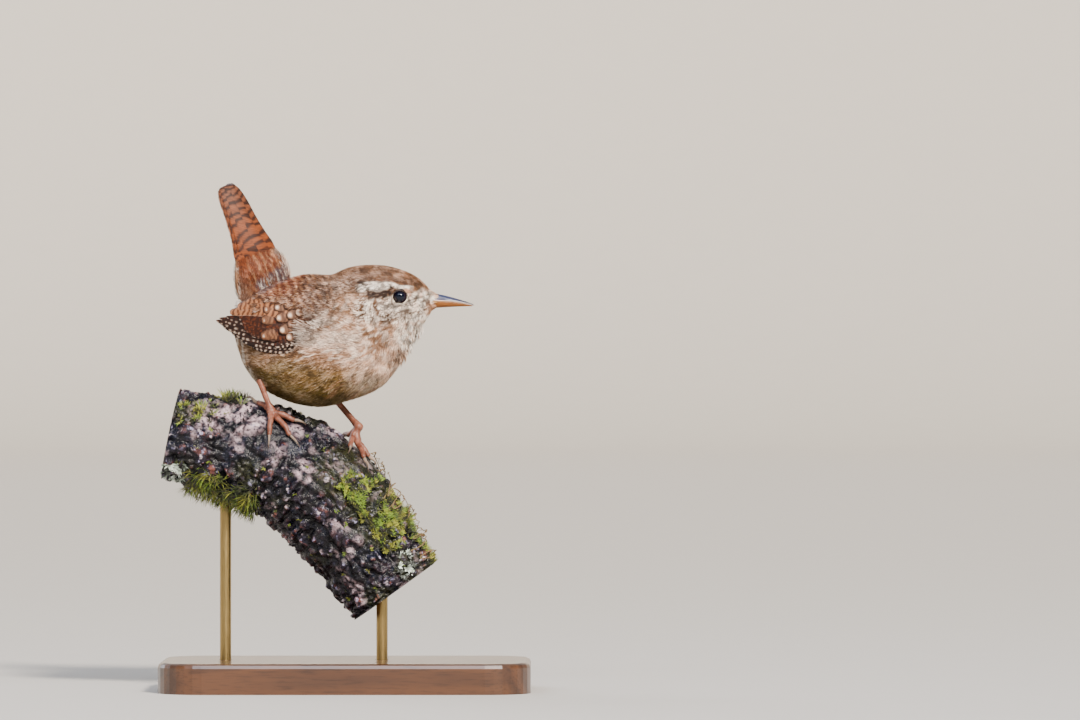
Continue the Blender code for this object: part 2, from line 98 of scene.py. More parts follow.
# The cocked tail is an arch in section: ridge x and z, edge x and z, half width.
TAIL = np.array([
    (-16.2, 104.5, -26.5, 99.5, 6.2),
    (-14.6, 109.2, -27.9, 103.6, 6.6),
    (-15.6, 113.9, -28.9, 108.6, 6.4),
    (-18.5, 117.8, -29.2, 113.8, 6.1),
    (-21.3, 121.7, -30.0, 119.0, 5.8),
    (-23.8, 125.8, -31.7, 124.8, 5.3),
    (-25.9, 129.7, -33.3, 129.8, 4.6),
    (-28.0, 132.8, -33.5, 132.8, 3.6),
    (-30.0, 134.5, -32.3, 134.3, 2.2),
])

# The branch's middle line and radius.
PERCH_Y = 2.0

PERCH = np.array([
    (-46.6, 67.8, 11.6),
    (-35.2, 65.4, 12.7),
    (-24.1, 62.2, 14.0),
    (-14.4, 58.2, 15.2),
    (-5.4, 51.2, 15.2),
    (2.0, 41.7, 14.4),
    (9.0, 31.8, 13.6),
    (13.0, 26.2, 13.2),
])

# Each leg, in mm and degrees, as (x, y, z) places.
LEGS = {
    "right": {
        "thigh": (-20.9, -6.4, 84.9),
        "thigh_lean": 10.0,
        "shank_top": (-22.8, -7.0, 82.2),
        "ankle": (-19.6, -7.6, 73.9),
        "heading": -56.0,
        "hind_turn": 180.0,
    },
    "left": {
        "thigh": (-5.2, 6.4, 81.2),
        "thigh_lean": -40.0,
        "shank_top": (-3.4, 5.8, 77.4),
        "ankle": (3.3, 1.5, 69.8),
        "heading": -38.0,
        "hind_turn": 207.0,
    },
}
THIGH_HALF_SIZE = (3.0, 1.9, 4.7)
PAD_RADIUS = 1.25

TOES = {
    "hind": (0.0, 6.2, 4.6),
    "inner": (37.0, 6.6, 3.2),
    "middle": (0.0, 9.6, 3.6),
    "outer": (-27.0, 7.6, 3.2),
}

# The tints, in the order in which they are laid over the brown ground.
TINTS = ("rufous", "buff", "olive", "grey", "cream", "dark")

# Markings that the skin and the coat share. Each is a soft brush stroke in the side view: its
# tint, strength, middle line, half width, and how far its edge fades.
MARKS = [
    ("buff", 0.95, [(22, 99.5), (19, 95), (16, 89), (12, 84), (4, 80)], 5.5, 5.0),  # throat, breast
    ("buff", 0.85, [(3, 98), (2, 93), (-2, 88), (-9, 84)], 5.0, 6.0),  # side of the breast
    ("buff", 0.80, [(22.5, 104.2), (19, 104), (15, 101.5), (9, 101.2), (4, 99)], 2.6, 2.2),  # cheek
    ("buff", 0.20, [(12, 111), (2, 111), (-6, 109)], 1.5, 2.5),  # paler buff along the top of the head
    ("cream", 0.95, [(17.4, 106.3), (14.5, 107.0), (11, 107.1)], 0.35, 0.6),  # brow over the eye
    ("cream", 1.00, [(10.8, 106.9), (8.4, 107.0), (5.0, 106.6)], 0.85, 0.6),
    ("cream", 0.80, [(5.4, 106.6), (3.6, 106.2)], 0.35, 0.9),
    ("cream", 0.86, [(22.4, 104.0), (20.6, 104.8), (18.8, 104.2), (19.6, 102.6)], 0.8, 1.2),  # lores
    ("cream", 1.00, [(20.0, 97.2), (18.6, 95.2), (16.8, 92.6)], 2.2, 1.6),  # throat
    ("cream", 0.60, [(16.4, 97), (15.0, 93.5)], 1.4, 2.4),
    ("cream", 0.26, [(16, 89), (11, 85), (5, 83)], 2.0, 4.5),  # breast
    ("cream", 0.36, [(3, 92.5), (-5, 93.0), (-11, 93.0)], 0.9, 2.6),  # flank beside the wing
    ("cream", 0.80, [(17.0, 101.9), (13.5, 101.0), (10, 101.8)], 0.7, 1.4),  # below the eye
    ("buff", 0.42, [(21.0, 106.6), (18.6, 108.4), (15.5, 110.0)], 0.8, 1.6),  # forehead
    ("rufous", 0.22, [(21.4, 106.4), (18.8, 108.2), (16, 110.0)], 0.6, 1.8),  # forehead
    ("rufous", 0.30, [(21.8, 104.6), (20.0, 103.0)], 0.9, 1.2),  # warm lores
    ("rufous", 0.85, [(16.6, 106.0), (17.2, 104.8), (17.1, 103.4)], 0.45, 0.6),  # spot before the eye
    ("rufous", 0.78, [(24.0, 102.6), (22.4, 100.9), (21.0, 99.9)], 1.2, 1.3),  # chin
    ("rufous", 0.22, [(-10, 107), (-16, 106), (-22, 104)], 3.0, 5.0),  # back
    ("rufous", 0.95, [(-19, 113), (-21, 118), (-24, 124)], 7.4, 3.6),  # tail coverts
    ("rufous", 0.22, [(2, 96), (-2, 99)], 2.0, 3.0),  # side of the neck
    ("olive", 0.95, [(-4, 74.5), (-14, 75.5), (-22, 79)], 4.5, 4.5),  # belly
    ("olive", 0.75, [(6, 78), (-4, 79), (-16, 82)], 3.5, 5.0),  # belly side
    ("olive", 0.35, [(-24, 84), (-26, 89)], 3.0, 4.0),  # vent
    ("buff", 0.62, [(-17, 88), (-25, 90)], 3.0, 4.0),  # rear flank
    ("grey", 0.45, [(-15.2, 110.8), (-18, 109.2), (-21.5, 106.8)], 1.3, 1.2),  # down over the rump
    ("dark", 0.95, [(12.2, 104.8), (10.0, 104.8)], 0.35, 0.8),  # eye stripe
    ("dark", 0.95, [(10.2, 104.7), (8.6, 104.6), (6.8, 104.2)], 0.65, 1.2),
    ("dark", 0.40, [(6.6, 104.4), (3.6, 104.0)], 0.40, 1.0),
    ("dark", 0.75, [(17.0, 103.3), (17.3, 102.3)], 0.25, 0.5),
    ("dark", 0.30, [(18.8, 101.9), (15.5, 99.4), (11, 98.6)], 0.30, 0.8),  # moustache
    ("dark", 0.50, [(-15.0, 110.2), (-19, 108.2)], 0.5, 1.2),
]


def through(table, at):
    """Rows of a table read at fractional numbers: Catmull-Rom, so the curve meets every row."""
    at = np.asarray(at, float)
    last = len(table) - 1
    i = np.clip(np.floor(at).astype(int), 0, last - 1)
    t = (at - i)[..., None]
    before = table[np.clip(i - 1, 0, last)]
    start = table[i]
    end = table[i + 1]
    after = table[np.clip(i + 2, 0, last)]
    square = (2 * before - 5 * start + 4 * end - after) * t * t
    cube = (3 * start - before - 3 * end + after) * t ** 3
    return 0.5 * (2 * start + (end - before) * t + square + cube)


def smooth(low, high, value):
    """0 below low, 1 above high, and an S between them."""
    t = np.clip((value - low) / (high - low), 0.0, 1.0)
    return t * t * (3 - 2 * t)


def lattice(i, j, seed):
    """A fixed random number from 0 to 1 for each whole place (i, j)."""
    n = (i * 374761393 + j * 668265263 + seed * 974634777) & 0xFFFFFFFF
    n = ((n ^ (n >> 13)) * 1274126177) & 0xFFFFFFFF
    return ((n ^ (n >> 16)) & 0xFFFF) / 65535.0


def noise(x, y, seed=0):
    """Value noise from 0 to 1: lattice heights blended by an S in both directions."""
    i, j = np.floor(x).astype(np.int64), np.floor(y).astype(np.int64)
    u, v = x - i, y - j
    u, v = u * u * (3 - 2 * u), v * v * (3 - 2 * v)
    low = lattice(i, j, seed) * (1 - u) + lattice(i + 1, j, seed) * u
    high = lattice(i, j + 1, seed) * (1 - u) + lattice(i + 1, j + 1, seed) * u
    return low * (1 - v) + high * v


def unit(vectors):
    """Vectors drawn out or in to length 1."""
    return vectors / np.maximum(np.linalg.norm(vectors, axis=-1, keepdims=True), 1e-9)


def body(s, a):
    """The bird's outline: ring s, and angle a round it from the back, + to the left. A point is
    the ring's middle, plus its reach times cos a less a sag, plus its half width times sin a."""
    row = through(BODY, s)
    middle, reach = (row[..., 0:2] + row[..., 2:4]) / 2, (row[..., 0:2] - row[..., 2:4]) / 2
    side = middle + reach * (np.cos(a) - BELLY_SAG * np.sin(a) ** 2)[..., None]
    return np.stack([side[..., 0], row[..., 4] * np.sin(a), side[..., 1]], -1)


def tail_arch(at, angle):
    """The tail's outer face: the ridge, plus the drop to the edges times 1 - cos of the angle, plus
    the half width times its sine."""
    row = through(TAIL, at)
    ridge, drop = row[..., 0:2], row[..., 2:4] - row[..., 0:2]
    side = ridge + drop * (1 - np.cos(angle))[..., None]
    return np.stack([side[..., 0], row[..., 4] * np.sin(angle), side[..., 1]], -1)


def tail_root(at, angle):
    """The coverts' body: the tail's arch, closed by a belly below its edges, and drawn to a point
    where the coverts end."""
    row = through(TAIL, at)
    ridge, drop = row[..., 0:2], row[..., 2:4] - row[..., 0:2]
    lift = np.where(np.cos(angle) > 0, np.cos(angle), 0.04 * np.cos(angle))
    close = 0.97 * np.sqrt(np.clip(1 - (at / 3.85) ** 6, 0, 1))
    middle = ridge + drop * 0.62
    side = middle + (ridge + drop * (1 - lift)[..., None] - middle) * close[..., None]
    return np.stack([side[..., 0], row[..., 4] * np.sin(angle) * close, side[..., 1]], -1)


def thigh_surface(leg):
    """An ellipsoid of the thigh's half sizes, leant about Y. Ring s runs 0 to 1 from the top down,
    and a goes round it."""
    lean = math.radians(leg["thigh_lean"])

    def surface(s, a):
        polar = np.pi * np.asarray(s)
        x = THIGH_HALF_SIZE[0] * np.sin(polar) * np.cos(a)
        y = THIGH_HALF_SIZE[1] * np.sin(polar) * np.sin(a)
        z = THIGH_HALF_SIZE[2] * np.cos(polar)
        turned_x = x * math.cos(lean) + z * math.sin(lean)
        turned_z = z * math.cos(lean) - x * math.sin(lean)
        return np.stack([turned_x, y, turned_z], -1) + np.array(leg["thigh"])

    return surface


def tangents(surface, s, a):
    """A surface's point, its two derivatives, by differences, and its outward unit normal."""
    step = 0.01
    point = surface(s, a)
    along = (surface(s + step, a) - surface(s - step, a)) / (2 * step)
    round_it = (surface(s, a + step) - surface(s, a - step)) / (2 * step)
    normal = unit(np.cross(along, round_it))
    if hasattr(surface, "side"):
        way = 1 if np.sum(normal[..., 1]) * surface.side > 0 else -1
    else:
        middle = surface(s, a * 0) * 0.5 + surface(s, a * 0 + np.pi) * 0.5
        way = 1 if np.sum(normal * (point - middle)) > 0 else -1
    return point, along, round_it, normal * way


def chords(table, x, z):
    """For side-view points: the fractional row whose chord passes through each, and how far along
    that chord it lies, 1 at its first point and -1 at its second."""
    rows = np.linspace(0, len(table) - 1, 40 * (len(table) - 1) + 1)
    at = through(table, rows)
    top, bottom = at[:, 0:2], at[:, 2:4]
    way = top - bottom
    turn = way[:, 0] * (z[:, None] - bottom[:, 1]) - way[:, 1] * (x[:, None] - bottom[:, 0])
    crossed = turn[:, :-1] * turn[:, 1:] <= 0
    first = np.where(crossed.any(1), crossed.argmax(1), np.abs(turn).argmin(1).clip(0, len(rows) - 2))
    pick = np.arange(len(x))
    low, high = turn[pick, first], turn[pick, first + 1]
    share = np.clip(low / np.where(low == high, 1, low - high), 0, 1)
    row = rows[first] + share * (rows[1] - rows[0])
    found = through(table, row)
    chord = (found[:, 0:2] - found[:, 2:4]) / 2
    middle = (found[:, 0:2] + found[:, 2:4]) / 2
    offset = np.stack([x, z], -1) - middle
    return row, np.sum(offset * chord, -1) / np.maximum(np.sum(chord * chord, -1), 1e-9)


def body_reach(x, z):
    """How far the body reaches sideways at side-view points: the ring's formula, solved for the
    angle whose level is the point's."""
    row, level = chords(BODY, x, z)
    root = 1 + 4 * BELLY_SAG * (BELLY_SAG + np.clip(level, -1, 1))
    cosine = np.clip((np.sqrt(np.maximum(root, 0)) - 1) / (2 * BELLY_SAG), -1, 1)
    return through(BODY, row)[:, 4] * np.sqrt(1 - cosine ** 2)


def wing_reach(x, z):
    """How far out the wing's outer face lies: over the body, or on a plane that bends in to both
    edges, and over that the wing's own thickness."""
    row, level = chords(WING, x, z)
    found = through(WING, row)
    narrow = np.minimum(1, np.hypot(found[:, 0] - found[:, 2], found[:, 1] - found[:, 3]) / 16)
    level = np.clip(level, -1.15, 1.15)
    plane = found[:, 4] - WING_CAMBER * narrow * (0.35 + 0.65 * level) ** 2
    thick = 0.6 + 0.9 * np.sqrt(np.maximum(0, 1 - np.abs(level) ** 3)) * narrow
    own = body_reach(x, z) + 0.3
    return 0.5 * (own + plane + np.hypot(own - plane, 0.6)) + thick


def drape(side):
    """The bird's side as one sheet over body and folded wing: s is mm towards the tail, a is height
    in mm. It is the farther out of the two, evened over about a mm."""
    cell = 0.4
    x, z = np.meshgrid(np.arange(-31, 13, cell), np.arange(72, 114, cell), indexing="ij")
    flat_x, flat_z = x.ravel(), z.ravel()
    row, level = chords(WING, flat_x, flat_z)
    found = through(WING, row)
    chord = unit(found[:, 0:2] - found[:, 2:4])
    offset = np.stack([flat_x, flat_z], -1) - (found[:, 0:2] + found[:, 2:4]) / 2
    off_chord = np.abs(offset[:, 0] * chord[:, 1] - offset[:, 1] * chord[:, 0])
    inside = smooth(1.10, 0.98, np.abs(level)) * smooth(0.5, 0.1, off_chord)
    own = np.maximum(body_reach(flat_x, flat_z),
                     (wing_reach(flat_x, flat_z) + 0.35) * inside).reshape(x.shape)
    evened = own
    for _ in range(14):
        for axis in (0, 1):
            evened = (np.roll(evened, 1, axis) + 2 * evened + np.roll(evened, -1, axis)) / 4
    heights = np.maximum(own, evened) + 0.05

    def surface(s, a):
        i, j = np.clip((-s + 31) / cell, 0, x.shape[0] - 1.01), np.clip((a - 72) / cell, 0, x.shape[1] - 1.01)
        low_i, low_j = i.astype(int), j.astype(int)
        u, v = i - low_i, j - low_j
        near = heights[low_i, low_j] * (1 - v) + heights[low_i, low_j + 1] * v
        far = heights[low_i + 1, low_j] * (1 - v) + heights[low_i + 1, low_j + 1] * v
        return np.stack([-s + 0 * a, SIDES[side] * (near * (1 - u) + far * u), a + 0 * s], -1)

    surface.side = SIDES[side]
    return surface


def stroke(x, z, line, half_width, fade):
    """A brush stroke: 1 within half its width of a bent line, fading to 0 beyond."""
    nearest = np.full(x.shape, 1e9)
    for (x0, z0), (x1, z1) in zip(line, line[1:]):
        dx, dz = x1 - x0, z1 - z0
        t = np.clip(((x - x0) * dx + (z - z0) * dz) / (dx * dx + dz * dz), 0, 1)
        nearest = np.minimum(nearest, np.hypot(x - x0 - t * dx, z - z0 - t * dz))
    return 1 - smooth(half_width, half_width + fade, nearest)


def turns(count):
    """The angles of points spaced evenly round a ring."""
    return TAU * np.arange(count) / count


def raise_tints(tints, **values):
    """Brings each named tint up to its values where it is below them."""
    for name, value in values.items():
        tints[name] = np.maximum(tints[name], value)


def markings(points):
    """The tints at points, as names with numbers from 0 to 1: each is the strongest of its strokes,
    broken up by streaks and flecks."""
    x, y, z = points[:, 0], np.abs(points[:, 1]), points[:, 2]
    wander = noise(x * 0.9, z * 0.9 + y, 3) - 0.5
    shift_x, shift_z = x + wander * 0.9, z + (noise(x * 0.8 + 40, z * 0.8, 5) - 0.5) * 0.9
    tints = {name: np.zeros(len(x)) for name in TINTS}
    for tint, strength, line, half_width, fade in MARKS:
        raise_tints(tints, **{tint: strength * stroke(shift_x, shift_z, line, half_width, fade)})
    below_top = 1 - smooth(3.2, 1.2, y) * smooth(104, 107, z) * smooth(23.6, 20, x)
    tints["cream"] *= below_top * (0.45 + 0.55 * smooth(0.30, 0.52, noise(x * 1.5, z * 1.9, 27)))
    tints["dark"] *= below_top * (0.66 + 0.34 * smooth(0.28, 0.5, noise(x * 1.6 + 3, z * 2.2, 28)))
    back = smooth(2, -5, x) * smooth(98, 103, z) * smooth(-27, -24, x)
    wave = np.sin(x * 3.3 + z * 1.6 + 5.0 * noise(x * 0.6, z * 0.6, 9))
    patchy = back * (0.35 + 0.65 * noise(x * 1.1, z * 1.3, 10))
    raise_tints(tints, dark=0.52 * patchy * smooth(0.1, 0.7, wave),
                buff=0.85 * patchy * smooth(0.0, 0.7, -wave))
    # Feather tips: pale cells with thin dark gaps between them, clearest on the cheek.
    cells = noise(x * 0.80 + 0.30 * z, z * 1.5 - 0.25 * x, 12)
    gaps = np.maximum(smooth(0.16, 0.06, np.abs(cells - 0.5)),
                      smooth(0.10, 0.04, np.abs(noise(x * 1.1 + 9, z * 1.2 + 0.5 * x, 13) - 0.5)))
    cheek = stroke(x, z, [(18, 101.2), (14, 100.6), (6, 101.0)], 2.6, 2.2)
    nape = stroke(x, z, [(3, 102), (-4, 102)], 5.0, 4.0) * (1 - cheek)
    brow = stroke(x, z, [(14, 107.0), (4, 106.4)], 1.3, 0.6)
    raise_tints(tints, dark=(0.66 * cheek + 0.46 * nape + 0.34 * brow) * gaps,
                cream=(0.74 * cheek + 0.12 * nape) * (1 - gaps))
    # Fine lines that run with the head's profile, strongest in the band above the brow.
    out, turn = np.hypot(x - 8, z - 97), np.arctan2(z - 97, x - 8)
    lines = noise(out * 2.3 + 0.5 * y + 0.4 * wander, turn * 6.0, 61)
    top = stroke(x, z, [(-1, 109), (8, 111.5), (14.6, 110.0), (18.6, 107.6), (21.2, 105.8)], 1.9, 1.0)
    band = stroke(x, z, [(20.2, 106.4), (17.4, 108.1), (13.4, 108.9), (9, 109.3)], 0.7, 0.9)
    raise_tints(tints, dark=(0.20 * top + 0.16 * band) * smooth(0.52, 0.62, lines),
                buff=(0.30 * top + 0.34 * band) * smooth(0.46, 0.34, lines))
    # Hair-like streaks down the breast's side and the flank.
    side = smooth(101, 97, z) * smooth(80, 84, z) * smooth(14, 9, x)
    hair = noise(x * 0.42 + z * 0.22, z * 1.9 - x * 0.75, 23)
    raise_tints(tints, dark=0.34 * side * smooth(0.58, 0.70, hair),
                cream=0.42 * side * smooth(0.44, 0.32, hair) * smooth(84, 89, z))
    tints["cream"] *= 1 - 0.75 * smooth(-13, -19, x) * smooth(97, 94, z)
    # Pale strands over the belly, scaly rows on the breast, painted shade along the belly's underside, and a
    # pale rear edge.
    strands = smooth(0.62, 0.72, noise((0.82 * x + 0.57 * z) * 0.26, (0.82 * z - 0.57 * x) * 1.9, 24))
    strands = strands * smooth(86, 81, z) * (0.35 + 0.65 * smooth(-9, -2, x))
    tints["olive"] *= 1 - 0.55 * strands
    scaly = stroke(x, z, [(18, 92), (12, 91), (6, 96), (0, 97)], 5.0, 4.0) * (1 - cheek)
    rows = noise(x * 0.9 - 0.6 * z, z * 0.75 + 0.3 * x, 29)
    raise_tints(tints, buff=0.8 * strands, dark=0.30 * scaly * smooth(0.56, 0.70, rows),
                cream=0.42 * scaly * smooth(0.42, 0.28, rows))
    # Painted shade: a dark stroke along the lowest line of the belly, where the underside turns away from the
    # light.
    low = stroke(x, z, [(0, 76.5), (-8, 75.2), (-15, 76.2), (-22, 80)], 0.9, 2.8)
    rear = stroke(x, z, [(-28.0, 91.5), (-26.8, 86), (-25.2, 82)], 0.9, 1.6)
    raise_tints(tints, dark=0.36 * low * (1 - strands),
                cream=0.75 * rear * smooth(0.45, 0.62, noise(x * 2.4 + z * 0.4, z * 0.5, 25)))
    return tints


def linear(code):
    """An sRGB hex colour as linear light, with alpha 1."""
    values = [int(code[i:i + 2], 16) / 255 for i in (1, 3, 5)]
    return (*[v / 12.92 if v <= 0.04045 else ((v + 0.055) / 1.055) ** 2.4 for v in values], 1.0)


def show(name, data):
    """An object that holds the data, in the scene."""
    made = bpy.data.objects.new(name, data)
    bpy.context.scene.collection.objects.link(made)
    return made


def write_mesh(name, points, faces, material, marks=None, uvs=None, smooth_shaded=True):
    """A piece from points in mm and arrays of faces, one array for each number of corners. A uv is
    given for each point, or for each face corner as one array."""
    mesh = bpy.data.meshes.new(name)
    mesh.vertices.add(len(points))
    mesh.vertices.foreach_set("co", (points * MM).astype(np.float32).ravel())
    corners = np.concatenate([f.ravel() for f in faces]).astype(np.int32)
    sizes = np.concatenate([np.full(len(f), f.shape[1]) for f in faces])
    mesh.loops.add(len(corners))
    mesh.loops.foreach_set("vertex_index", corners)
    mesh.polygons.add(len(sizes))
    mesh.polygons.foreach_set("loop_start", (np.cumsum(sizes) - sizes).astype(np.int32))
    mesh.update(calc_edges=True)
    mesh.polygons.foreach_set("use_smooth", np.full(len(sizes), smooth_shaded))
    for key, values in (marks or {}).items():
        layer = mesh.attributes.new(key, "FLOAT", "POINT")
        layer.data.foreach_set("value", values.astype(np.float32).ravel())
    layer = mesh.uv_layers.new(name="OFBake")
    by_corner = uvs if len(uvs) == len(corners) else uvs[corners]
    layer.data.foreach_set("uv", by_corner.astype(np.float32).ravel())
    mesh.materials.append(material)
    piece = show(name, mesh)
    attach(piece, "root")
    return piece


def lofts(grid, cell=(0.0, 0.0, 1.0, 1.0), columns=1):
    """Closed tubes through rings, for an array of tubes, rings, points and xyz. Neighbouring rings
    are joined by quads and each end is closed by one face. Each tube's unwrap fills a box of its
    own in the cell, its length one way and its girth the other."""
    tubes, rings, sides = grid.shape[:3]
    number = np.arange(tubes * rings * sides).reshape(tubes, rings, sides)
    turned = np.roll(number, -1, axis=2)
    quads = np.stack([number[:, :-1], number[:, 1:], turned[:, 1:], turned[:, :-1]], -1).reshape(-1, 4)
    ends = np.concatenate([number[:, 0], number[:, -1, ::-1]])
    rows = math.ceil(tubes / columns)
    left = (np.arange(tubes) % columns / columns)[:, None, None]
    low = (np.arange(tubes) // columns / rows)[:, None, None]
    i = np.broadcast_to(np.arange(rings)[:, None], (tubes, rings, sides))
    j = np.broadcast_to(np.arange(sides), (tubes, rings, sides))
    across = np.stack([j[:, :-1], j[:, :-1], j[:, :-1] + 1, j[:, :-1] + 1], -1) / sides
    along = np.stack([i[:, :-1], i[:, 1:], i[:, 1:], i[:, :-1]], -1) / (rings - 1)
    u = left[..., None] + (0.03 + 0.94 * across) / columns
    v = low[..., None] + (0.03 + 0.90 * along) / rows
    turn = turns(sides)
    disc_u = left[:, 0] + (0.5 + 0.01 * np.cos(turn)) / columns
    disc_v = low[:, 0] + (0.96 + 0.01 * np.sin(turn)) / rows
    discs = np.tile(np.stack([disc_u, disc_v], -1), (2, 1, 1))
    uvs = np.concatenate([np.stack([u, v], -1).reshape(-1, 2), discs.reshape(-1, 2)])
    uvs = np.array(cell[:2]) + uvs * np.array(cell[2:])
    return grid.reshape(-1, 3), [quads, ends], uvs


def scatter(count, s_range, a_range, surface, density=None):
    """Even but irregular places on a surface: a three-number additive sequence, of which the third
    decides, by local area and wanted density, whether a place is kept."""
    def drawn(amount):
        n = np.arange(1, amount + 1)
        return (n * 0.8191725134) % 1, (n * 0.6710436067) % 1, (n * 0.5497004779) % 1

    def weight(u, v):
        s, a = s_range[0] + u * (s_range[1] - s_range[0]), a_range[0] + v * (a_range[1] - a_range[0])
        point, along, round_it, _ = tangents(surface, s, a)
        area = np.linalg.norm(np.cross(along, round_it), axis=-1)
        return s, a, area * (1 if density is None else density(s, a, point))

    u, v, _ = drawn(3000)
    sample = weight(u, v)[2]
    peak = np.percentile(sample, 99.5)
    share = np.mean(np.minimum(sample / peak, 1))
    u, v, chance = drawn(int(count / max(share, 0.01)))
    s, a, wanted = weight(u, v)
    keep = chance < wanted / peak
    return s[keep], a[keep]


def barbs(surface, s, a, seed, length, width, rise, depth, spread, span, count=7, turn=0.0, bend=0.0,
          long=False, patch=(0.0, 0.0, 1.0, 1.0)):
    """One tuft at each root (s, a): a fan of slender closed barbs. A barb starts at the skin, runs
    with the lie of the coat turned by its place in the fan, follows the surface below it, and its
    tip comes out to the coat's face. Each has a low ridge along its middle."""
    rng = np.random.default_rng(seed)
    roots = len(s)
    _, along, round_it, normal = tangents(surface, s, a)
    length, width, rise, depth, turn, bend = (
        np.broadcast_to(np.asarray(value, float), (roots,))[:, None]
        for value in (length, width, rise, depth, turn, bend)
    )
    flow = unit(along)
    across = np.cross(normal, flow)
    fan = np.linspace(-1, 1, count)[None, :] + rng.uniform(-0.25, 0.25, (roots, count))
    tuft_turn = turn + rng.normal(0, 0.10, (roots, 1))
    reach = length * rng.uniform(0.80, 1.15, (roots, 1)) * rng.uniform(0.72, 1.12, (roots, count))
    reach = reach * (1 - 0.22 * fan ** 2)
    start = 0.10 * length * rng.uniform(-1, 1, (roots, count))
    pairs = ((along, along), (along, round_it), (round_it, round_it))
    e, f, g = (np.sum(p * q, -1)[:, None] for p, q in pairs)
    lever = np.maximum(e * g - f * f, 1e-9)
    lift = rise * rng.uniform(0.2, 1.3, (roots, 1)) + rng.uniform(-0.05, 0.08, (roots, count))
    middles = (0.38, 0.72) if long else (0.5,)
    placed = []
    for share in (0.0, *middles, 1.0):
        angle = tuft_turn + spread * fan * (0.55 + 0.45 * share) + bend * share ** 2
        forward = start + reach * share * np.cos(angle)
        sideways = 0.16 * length * fan + reach * share * np.sin(angle)
        step = forward[..., None] * flow[:, None] + sideways[..., None] * across[:, None]
        by_s, by_a = np.sum(step * along[:, None], -1), np.sum(step * round_it[:, None], -1)
        at_s = np.clip(s[:, None] + (g * by_s - f * by_a) / lever, *span)
        at_a = a[:, None] + (e * by_a - f * by_s) / lever
        under, _, _, out = tangents(surface, at_s, at_a)
        height = -depth * (1 - share) ** 1.4 + lift * share
        placed.append((under + out * height[..., None], out))
    root, tip = placed[0][0], placed[-1][0]
    way = unit(tip - root)
    columns = [root]
    for (middle, out), share in zip(placed[1:-1], middles):
        side = unit(np.cross(out, way)) * (width * (1.0 if share < 0.6 else 0.8))[..., None] / 2
        columns += [middle + side, middle + out * (width * 0.22)[..., None], middle - side]
    points = np.stack([*columns, tip], 2)
    size = points.shape[2]
    last = size - 1
    cone = np.array([(0, 3, 2), (0, 2, 1), (0, 1, 3), (last, last - 2, last - 1), (last, last - 3, last - 2),
                     (last, last - 1, last - 3)])
    first = (np.arange(roots * count) * size)[:, None, None]
    faces = [(first + cone).reshape(-1, 3)]
    if long:
        walls = np.array([(3, 6, 5, 2), (2, 5, 4, 1), (1, 4, 6, 3)])
        faces.append((first + walls).reshape(-1, 4))
    level = np.array([0.0, *np.repeat(middles, 3), 1.0])
    lean = np.array([0.0, *([0.35, 0.0, -0.35] * len(middles)), 0.0])
    local = np.stack(np.broadcast_arrays((np.arange(count)[:, None] + 0.5 + lean) / count, level), -1)
    rooted = np.stack([(at - at.min()) / max(np.ptp(at), 1e-9) for at in (s, a)], -1)[:, None, None]
    uvs = np.array(patch[:2]) + (0.004 + 0.988 * rooted) * np.array(patch[2:]) + 0.003 * local
    cell = 0.27 + 0.09 * np.median(length)
    wide = a * np.median(np.linalg.norm(round_it, axis=-1)) / cell
    tall = s * np.median(np.linalg.norm(along, axis=-1)) / (3.6 * cell)
    streaks = smooth(0.25, 0.75, noise(wide, tall, seed))[:, None]
    tone = 0.60 * streaks + 0.12 * rng.uniform(0, 1, (roots, 1)) + 0.28 * rng.uniform(0, 1, (roots, count))
    return {
        "points": points.reshape(-1, 3),
        "faces": faces,
        "uvs": uvs.reshape(-1, 2),
        "size": size,
        "carried": (root * 0.35 + tip * 0.65).reshape(-1, 3),
        "tone": tone.ravel(),
        "along": np.tile(level, roots * count),
    }


def grow(surface, tufts, s_range, a_range, seed, length, width, density=None, **settings):
    """Tufts scattered over part of a surface. A setting may be a function of the tuft's place."""
    s, a = scatter(tufts, s_range, a_range, surface, density)
    settings.update(length=length, width=width)
    found = {key: value(s, a) if callable(value) else value for key, value in settings.items()}
    return barbs(surface, s, a, seed, **found)


def coat(name, batches, material, change=None):
    """One piece of coat from batches of barbs. Each barb has one set of tints, read from the
    markings at the part of it that shows."""
    points, uvs, marks, triangles, quads = [], [], {"along": []}, [], []
    base = 0
    for batch in batches:
        found = markings(batch["carried"])
        if change is not None:
            found = change(found, batch["carried"])
        for key, values in {**found, "tone": batch["tone"]}.items():
            marks.setdefault(key, []).append(np.repeat(values, batch["size"]))
        marks["along"].append(batch["along"])
        points.append(batch["points"])
        uvs.append(batch["uvs"])
        triangles.append(batch["faces"][0] + base)
        quads += [face + base for face in batch["faces"][1:]]
        base += len(batch["points"])
    marks = {key: np.concatenate(values) for key, values in marks.items()}
    faces = [np.concatenate(triangles)] + quads
    return write_mesh(name, np.concatenate(points), faces, material, marks, np.concatenate(uvs), False)


def write_loft(name, grids, material, marks=None, columns=1):
    """A piece of closed tubes, with numbers for each of their points."""
    points, faces, uvs = lofts(grids, columns=columns)
    return write_mesh(name, points, faces, material, marks, uvs)


def add(tree, kind, sockets, out=0, **settings):
    """Adds a node with its settings and gives one of its outputs. Each named socket is linked to
    another output or holds a plain value."""
    made = tree.nodes.new("ShaderNode" + kind)
    for name, value in settings.items():
        setattr(made, name, value)
    for socket, value in sockets.items():
        if isinstance(value, bpy.types.NodeSocket):
            tree.links.new(value, made.inputs[socket])
        else:
            made.inputs[socket].default_value = value
    return made.outputs[out]


def begin(name, **sockets):
    """A new material whose shader holds plain numbers, its node tree, and the place on the object."""
    material = bpy.data.materials.new(name)
    material.use_nodes = True
    tree = material.node_tree
    for socket, value in sockets.items():
        tree.nodes["Principled BSDF"].inputs[socket.replace("_", " ")].default_value = value
    return material, tree, add(tree, "TexCoord", {}, "Object")


def attributes(tree, *names):
    """What a material reads from attributes of its mesh."""
    return [add(tree, "Attribute", {}, "Fac", attribute_name=name) for name in names]


